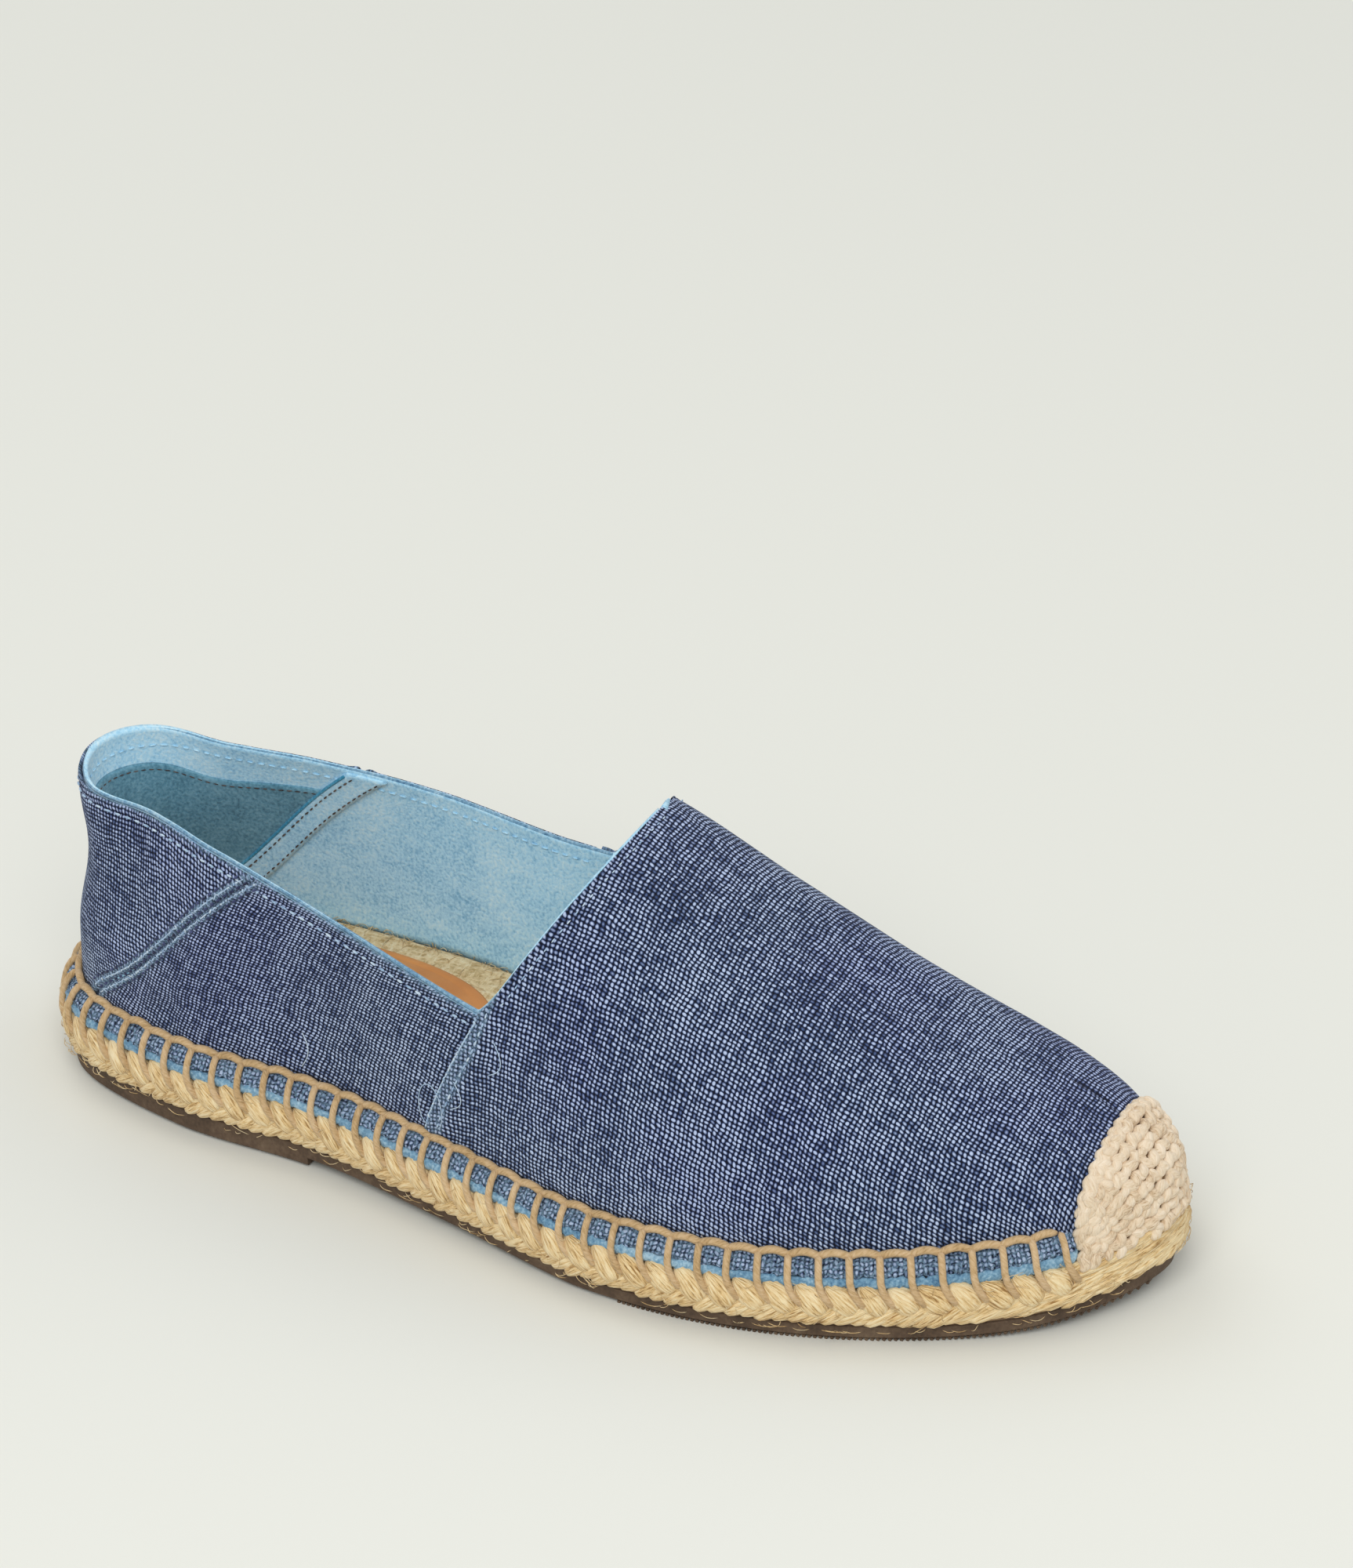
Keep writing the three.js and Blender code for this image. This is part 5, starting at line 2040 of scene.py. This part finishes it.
@dataclass
class RubberSole:
    """Thin moulded rubber: heel block, raised waist, sprung toe and a fine ribbed tread."""

    last: Last
    finishes: Finishes
    repeater: Repeater
    inset: float = 3.0
    top: float = 4.0
    chamfer: float = 0.45
    heel_block_end: float = 83.0
    ball_start: float = 172.0
    waist_rise: float = 2.4
    rib_height: float = 0.6
    rib_pitch: float = 1.2
    sections: int = 220

    def build(self) -> None:
        """Makes the sole and its tread."""
        self.body()
        self.tread()

    def bottom(self, along: np.ndarray) -> np.ndarray:
        """Height of the bottom over the sprung floor."""
        share = np.clip((along - self.heel_block_end) / (self.ball_start - self.heel_block_end), 0, 1)
        arch = np.maximum(self.waist_rise * (1 - share**2.3), self.rib_height)
        return np.where((share > 0) & (share < 1), arch, self.rib_height)

    def edges(self, along: np.ndarray, inset: float) -> tuple[np.ndarray, np.ndarray]:
        """Outer and inner edge in plan at places along the shoe."""
        found = []
        for low in (0.0, 1.0):
            turn = np.linspace(low, low + 1, 3001)
            line = self.last.outline(turn) + self.last.inward(turn) * inset
            line = line[np.argsort(line[:, 1])]
            found.append(np.stack([np.interp(along, line[:, 1], line[:, 0]), along], -1))
        return found[0], found[1]

    def body(self) -> None:
        """The slab, built across the shoe so that the heel block's step is straight."""
        low, high = self.inset + 0.02, SOLE_LENGTH - self.inset - 0.02
        share = (1 - np.cos(np.linspace(0, np.pi, self.sections))) / 2
        step = self.heel_block_end + np.array([-0.01, 0.01])
        along = np.sort(np.concatenate([low + (high - low) * share, step]))
        edges = self.edges(along, self.inset)
        floor = self.bottom(along) + self.last.toe_lift(along)
        roof = self.top + self.last.lift(along)
        centre = (edges[0] + edges[1]) / 2
        rows = []
        for edge in edges:
            width = np.linalg.norm(edge - centre, axis=1, keepdims=True)
            pulled = edge + (centre - edge) * np.clip(self.chamfer / np.maximum(width, 1e-3), 0, 1)
            plan_height = ((pulled, floor), (edge, floor + self.chamfer), (edge, roof - 0.3), (pulled, roof))
            ring = [self.last.place(plan, height) for plan, height in plan_height]
            rows += ring if edge is edges[0] else ring[::-1]
        grid = np.stack(rows)
        count, columns = grid.shape[:2]
        column = np.arange(columns - 1)
        high_row = (count - 1) * columns
        close = np.stack([high_row + column, high_row + column + 1, column + 1, column], -1)
        faces = [tuple(face) for face in np.concatenate([grid_faces(count, columns), close])]
        ends = [tuple(r * columns + end for r in range(count)) for end in (0, columns - 1)]
        piece = mesh_piece("rubber_sole", grid.reshape(-1, 3), faces + ends)
        merge_close(piece, 0.005)
        piece.data.polygons.foreach_set("use_smooth", [False] * len(piece.data.polygons))
        piece.data.materials.append(self.finishes.rubber)
        hand_over(piece, Slot.RUBBER, "outsole")

    def tread(self) -> None:
        """Fine cross ribs under the heel and the forefoot."""
        heel = np.arange(6.0, self.heel_block_end - 1, self.rib_pitch)
        along = np.concatenate([heel, np.arange(self.ball_start + 1, 280.0, self.rib_pitch)])
        outer, inner = self.edges(along, self.inset + 0.15)
        half = self.rib_height / 2 + 0.02
        point = self.last.place((outer + inner) / 2, half + self.last.toe_lift(along))
        slope = self.last.toe_lift(along + 0.5) - self.last.toe_lift(along - 0.5)
        down = unit(np.stack([0 * slope, -slope, -1 + 0 * slope], -1))
        width = np.linalg.norm(outer - inner, axis=1) - 2 * (along < self.heel_block_end)
        size = np.stack([0 * slope + 1, 0 * slope + 1, width], -1)
        lower = ((-half, -0.38), (half * 0.5, -0.38), (half, -0.22), (half, 0.22), (half * 0.5, 0.38), (-half, 0.38))
        points = np.array([(x, y, z) for z in (-0.5, 0.5) for x, y in lower])
        sides = [(k, (k + 1) % 6, 6 + (k + 1) % 6, 6 + k) for k in range(6)]
        shape = mesh_piece("tread_rib_shape", points, sides + [(5, 4, 3, 2, 1, 0), (6, 7, 8, 9, 10, 11)])
        merge_close(shape, 0.001)
        shape.data.polygons.foreach_set("use_smooth", [False] * len(shape.data.polygons))
        bpy.context.scene.collection.objects.unlink(shape)
        run = np.broadcast_to(np.array([1.0, 0.0, 0.0]), point.shape)
        piece = self.repeater.lay("rubber_tread_ribs", point, run, down, size, shape, self.finishes.rubber)
        hand_over(piece, Slot.RUBBER)


# ---------------------------------------------------------------- inside and toe


@dataclass
class Insole:
    """Jute cloth with a bare oval leather patch under the heel."""

    last: Last
    finishes: Finishes
    winder: Winder
    inset: float = 8.0
    bottom: float = 19.6
    top: float = 21.6
    patch_side: float = 6.5
    patch_along: float = 62.0
    patch_half_width: float = 22.5
    patch_half_length: float = 48.0
    patch_power: float = 2.4
    patch_profile: tuple[tuple[float, float], ...] = (
        (0.0, -0.35),
        (1.0, -0.35),
        (1.0, 0.35),
        (0.988, 0.5),
        (0.93, 0.52),
        (0.915, 0.36),
        (0.90, 0.52),
        (0.6, 0.55),
        (0.3, 0.55),
        (0.0, 0.55),
    )

    def build(self) -> None:
        """Makes the cloth, the patch and the hair that stands up round the edge."""
        self.cloth()
        self.patch()
        self.hair()

    def cloth(self) -> None:
        """The cloth, slightly dished, with a soft edge."""
        turn = np.linspace(0, 2, 361)[:-1]
        spine = self.last.spine(turn)
        plan = self.last.outline(turn) + self.last.inward(turn) * self.inset
        layers = []
        for share, height in ((1.0, 0.0), (0.5, 0.0), (0.0, 0.0), (0.0, 1.4), (0.012, 1.85), (0.03, 2.0)):
            at = plan + (spine - plan) * share
            layers.append(self.last.place(at, self.bottom + height + self.last.lift(at[:, 1])))
        for share in np.linspace(0.08, 1.0, 26):
            at = plan + (spine - plan) * share
            wave = 0.12 * np.sin(at[:, 0] * 0.55 + 1) * np.sin(at[:, 1] * 0.41) * (share < 1)
            dish = 0.35 * smoothstep(np.array(share), 0.0, 0.5)
            layers.append(self.last.place(at, self.top + wave - dish + self.last.lift(at[:, 1])))
        grid = np.stack(layers)
        piece = mesh_piece("insole_cloth", grid.reshape(-1, 3), grid_faces(len(grid), len(turn), wrap=True))
        merge_close(piece, 0.02)
        piece.data.materials.append(self.finishes.cloth)
        hand_over(piece, Slot.CLOTH, "insole")

    def patch(self) -> None:
        """The heel patch: a thin oval with a pressed line just inside its edge."""
        angle = np.linspace(0, 2 * np.pi, 145)[:-1]
        circle = np.stack([np.cos(angle), -np.sin(angle)], -1)
        half = np.array([self.patch_half_width, self.patch_half_length])
        edge = np.sign(circle) * np.abs(circle) ** (2 / self.patch_power) * half
        centre = np.array([self.patch_side, SOLE_LENGTH / 2 - self.patch_along])
        rows = []
        for share, height in self.patch_profile:
            plan = centre + edge * share
            level = self.top - 0.05 + height + self.last.lift(SOLE_LENGTH / 2 - plan[:, 1])
            rows.append(np.column_stack([plan, level]))
        grid = np.stack(rows)
        faces = grid_faces(len(grid), len(angle), wrap=True)
        piece = mesh_piece("leather_heel_patch", grid.reshape(-1, 3), faces)
        merge_close(piece, 0.01)
        piece.data.materials.append(self.finishes.leather)
        hand_over(piece, Slot.PATCH)

    def hair(self) -> None:
        """Loose fibres over the cloth, thickest along its edge."""
        rng = np.random.default_rng(3)
        steps = np.linspace(0, 1, 6)
        lines = []
        for _ in range(700):
            turn = np.array([rng.uniform(0.25, 1.75) if rng.uniform() < 0.5 else rng.uniform(1.2, 1.8)])
            edge = rng.uniform() < 0.6
            share = rng.uniform(0.0, 0.06) if edge else rng.uniform(0.02, 0.9)
            plan = self.last.outline(turn) + self.last.inward(turn) * self.inset
            at = plan + (self.last.spine(turn) - plan) * share
            start = self.last.place(at, self.top - 0.25 + self.last.lift(at[:, 1]))[0]
            heading = rng.uniform(0, 2 * np.pi) + rng.uniform(-1.2, 1.2) * steps
            rise = rng.uniform(0.3, 1.3) if edge else rng.uniform(0.1, 0.5)
            move = np.stack([np.cos(heading), np.sin(heading), 0 * steps], -1) * rng.uniform(0.4, 1.0)
            line = start + np.concatenate([[[0, 0, 0]], np.cumsum(move[1:], 0)])
            line[:, 2] += rise * np.sin(np.pi * steps)
            lines.append(line)
        piece = self.winder.wind("insole_hair", lines, 0.09, self.finishes.rope, 3, 0.4, 17)
        hand_over(piece, Slot.CLOTH)


@dataclass
class ToeCap:
    """A crocheted cap: a closed ground with rows of knots that follow its back edge."""

    last: Last
    finishes: Finishes
    repeater: Repeater
    winder: Winder
    start: float = 269.0
    ground_grow: float = 0.9
    row_pitch: float = 3.0
    knot_pitch: float = 3.9
    skirt: float = 14.6
    skirt_share: float = 0.22

    def back_angle(self, turn: np.ndarray) -> np.ndarray:
        """Where each rib meets the cap's back edge."""
        angle = np.linspace(0, np.pi / 2, 400)
        points = self.last.point(turn[:, None], angle[None, :], self.ground_grow)
        behind = SOLE_LENGTH / 2 - points[..., 1] < self.start
        first = np.where(behind.any(1), behind.argmax(1), len(angle) - 1)
        return angle[np.maximum(first - 1, 0)]

    def turns(self, count: int) -> np.ndarray:
        """Places round the toe that the cap covers."""
        turn = np.linspace(0.8, 1.2, 4001)
        foot = self.last.point(turn, 0 * turn, self.ground_grow)
        keep = turn[(SOLE_LENGTH / 2 - foot[:, 1]) > self.start + 0.2]
        return np.linspace(keep.min(), keep.max(), count)

    def build(self) -> None:
        """Makes the ground, the knots and the edge."""
        self.ground()
        self.knots()
        rim = self.wall(self.turns(400), np.array([1.0]), self.ground_grow - 0.2)[0]
        gone = travelled(rim)
        at = np.linspace(0, gone[-1], 80)
        edge = sample(rim, gone, at)
        edge[:, 1] += 0.4 * np.sin(at * 2 * np.pi / self.knot_pitch)
        piece = self.winder.wind("crochet_edge_yarn", [edge], 1.1, self.finishes.crochet, 8, 1.5, 9)
        hand_over(piece, Slot.CROCHET)

    def wall(self, turn: np.ndarray, share: np.ndarray, grow: float) -> np.ndarray:
        """The cap's surface: share 0 is its skirt's lower edge and 1 its back edge."""
        up = np.clip((share[:, None] - self.skirt_share) / (1 - self.skirt_share), 0, 1)
        body = self.last.point(turn[None, :], up * self.back_angle(turn)[None, :], grow)
        down = (np.clip(1 - share[:, None] / self.skirt_share, 0, 1) ** 1.3)[..., None]
        low = self.last.ring(turn, np.full_like(turn, 2.2 - grow), np.full_like(turn, self.skirt))
        return body * (1 - down) + low[None] * down

    def ground(self) -> None:
        """The shell under the knots, painted dark brown as the shade in the gaps between them."""
        turn = self.turns(90)
        share = np.linspace(0, 1, 26)
        outer, inner = (self.wall(turn, share, grow) for grow in (self.ground_grow, 0.2))
        rows, columns = outer.shape[:2]
        count, high = rows * columns, (rows - 1) * columns
        column, row = np.arange(columns - 1), np.arange(rows - 1) * columns
        end = row + columns - 1
        top = high + column
        faces = [
            grid_faces(rows, columns),
            grid_faces(rows, columns, flip=True) + count,
            np.stack([top, top + 1, count + top + 1, count + top], -1),
            np.stack([column + 1, column, count + column, count + column + 1], -1),
            np.stack([row, row + columns, count + row + columns, count + row], -1),
            np.stack([end + columns, end, count + end, count + end + columns], -1),
        ]
        across, around = np.broadcast_arrays(share[:, None] * 24.0, turn[None, :] * SIDE_LENGTH)
        uv = np.tile(np.stack([across, around], -1).reshape(-1, 2), (2, 1))
        points = np.concatenate([outer.reshape(-1, 3), inner.reshape(-1, 3)])
        # A low tint makes the shell darker still, which is more painted shade.
        tint = {"tint": np.full(2 * count, 0.1)}
        piece = mesh_piece("crochet_ground", points, np.concatenate(faces), uv, "fibre", tint)
        merge_close(piece, 0.01)
        piece.data.materials.append(self.finishes.crochet_ground)
        hand_over(piece, Slot.CROCHET, "toe_cap")

    def knots(self) -> None:
        """Rows of slanting stitches, each a pair of short fat loops."""
        turn = self.turns(400)
        surface = self.wall(turn, np.linspace(1, 0, 400), self.ground_grow)
        depth = np.cumsum(np.linalg.norm(np.diff(surface, axis=0), axis=-1), 0)
        depth = np.concatenate([np.zeros((1, len(turn))), depth])
        rng = np.random.default_rng(8)
        found = []
        for row in range(12):
            want = 1.4 + row * self.row_pitch
            reach = np.where(depth[-1] > want + 0.3)[0]
            if len(reach) < 8:
                continue
            line, above = (
                np.stack([sample(surface[:, c], depth[:, c], np.array([at]))[0] for c in reach])
                for at in (want, want - 0.8)
            )
            gone = travelled(line)
            at = np.arange(self.knot_pitch * (0.25 if row % 2 else 0.75), gone[-1] - 0.5, self.knot_pitch)
            here = sample(line, gone, at)
            ahead = unit(sample(line, gone, at + 0.6) - sample(line, gone, at - 0.6))
            upward = unit(sample(above, gone, at) - here)
            out = unit(np.cross(upward, ahead))
            out = out * np.where((out * (here - (0, -110, 20))).sum(-1, keepdims=True) < 0, -1, 1)
            for slant, slide in ((0.62, -0.95), (-0.62, 0.95)):
                run = ahead * np.cos(slant) + upward * np.sin(slant)
                spot = here + ahead * slide + out * 0.3 + rng.normal(0, 0.12, here.shape)
                found.append(np.stack([spot, run, out, rng.uniform(0.9, 1.12, here.shape)]))
        point, run, out, size = np.concatenate(found, 1)
        shape = strand_shape("knot_shape", 4.7, 2.9, 2.4, 0.45, 0.3, 10, 8)
        yarn = self.finishes.crochet
        piece = self.repeater.lay("crochet_knots", point, run, out, size, shape, yarn, 0.4, 0.14, 61)
        hand_over(piece, Slot.CROCHET)


# ---------------------------------------------------------------- the studio


@dataclass
class Studio:
    """A pale seamless floor, soft light and the camera."""

    floor_colour: str = "#e7e8e1"
    camera_at: tuple[float, float, float] = (-1035.25, -530.61, 775.56)
    turn: float = 26.17
    fall: float = 30.06
    roll: float = -0.308
    lens: float = 136.76
    sensor: float = 36.0

    def build(self) -> None:
        """Makes the floor, the lights and the camera."""
        self.floor()
        self.lights()
        self.camera()

    def floor(self) -> None:
        """A plain floor that fills the view."""
        size = 3000.0
        points = np.array([(-size, -size, 0), (size, -size, 0), (size, size, 0), (-size, size, 0)])
        floor = mesh_piece("studio_floor", points, [(0, 1, 2, 3)])
        material, tree = new_material("paper, matt, pale")
        paper = {"Base Color": linear(self.floor_colour), "Roughness": 1.0, "Specular IOR Level": 0.0}
        shader = add_node(tree, "ShaderNodeBsdfPrincipled", paper)
        add_node(tree, "ShaderNodeOutputMaterial", {}, {"Surface": shader})
        floor.data.materials.append(material)

    def lights(self) -> None:
        """An even sky, a broad key from the front left above, a weak fill and a back light."""
        world = bpy.data.worlds.new("studio")
        bpy.context.scene.world = world
        world.use_nodes = True
        world.node_tree.nodes.clear()
        light = {"Color": linear("#f5f6f6"), "Strength": 0.62}
        sky = add_node(world.node_tree, "ShaderNodeBackground", light)
        add_node(world.node_tree, "ShaderNodeOutputWorld", {}, {"Surface": sky})
        for name, at, size, power in (
            ("key", (-1.3, -0.45, 1.55), 1.5, 19.0),
            ("fill", (0.9, -1.2, 1.5), 1.8, 4.6),
            ("back", (0.7, 1.2, 1.6), 1.6, 7.0),
        ):
            lamp = bpy.data.lights.new(name, "AREA")
            lamp.shape, lamp.size, lamp.energy = "DISK", size, power
            lamp.color = linear("#fffefc")[:3]
            holder = bpy.data.objects.new(name, lamp)
            holder.location = at
            holder.rotation_euler = (-Vector(at)).to_track_quat("-Z", "Y").to_euler()
            bpy.context.scene.collection.objects.link(holder)

    def camera(self) -> None:
        """The camera, looking down on the outer side from the heel's end."""
        data = bpy.data.cameras.new("camera")
        data.lens, data.sensor_width = self.lens, self.sensor
        data.clip_start, data.clip_end = 0.05, 20.0
        camera = bpy.data.objects.new("camera", data)
        turn, fall = np.radians(self.turn), np.radians(self.fall)
        right = Vector((np.sin(turn), -np.cos(turn), 0.0))
        back = Vector((-np.cos(turn) * np.cos(fall), -np.sin(turn) * np.cos(fall), np.sin(fall)))
        level = Matrix((right, back.cross(right), back)).transposed()
        matrix = (level @ Matrix.Rotation(np.radians(self.roll), 3, "Z")).to_4x4()
        matrix.translation = Vector(self.camera_at) * MM
        camera.matrix_world = matrix
        bpy.context.scene.collection.objects.link(camera)
        bpy.context.scene.camera = camera
        bpy.context.scene.view_settings.view_transform = "Standard"


def main() -> None:
    """Dresses the shoe piece by piece."""
    logging.basicConfig(level=logging.INFO, format="%(name)s %(message)s")
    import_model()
    Studio().build()
    last = Last()
    finishes = Finishes.make()
    repeater, winder = Repeater(), Winder()
    RubberSole(last, finishes, repeater).build()
    stitch = BlanketStitch(last, finishes, winder)
    RopeSole(last, finishes, repeater, winder, stitch).build()
    Insole(last, finishes, winder).build()
    needle = Needle(repeater)
    SuedeLining(last, finishes, needle, winder).build()
    CanvasUpper(last, finishes, needle, winder).build()
    stitch.build()
    ToeCap(last, finishes, repeater, winder).build()


if __name__ == "__main__":
    main()
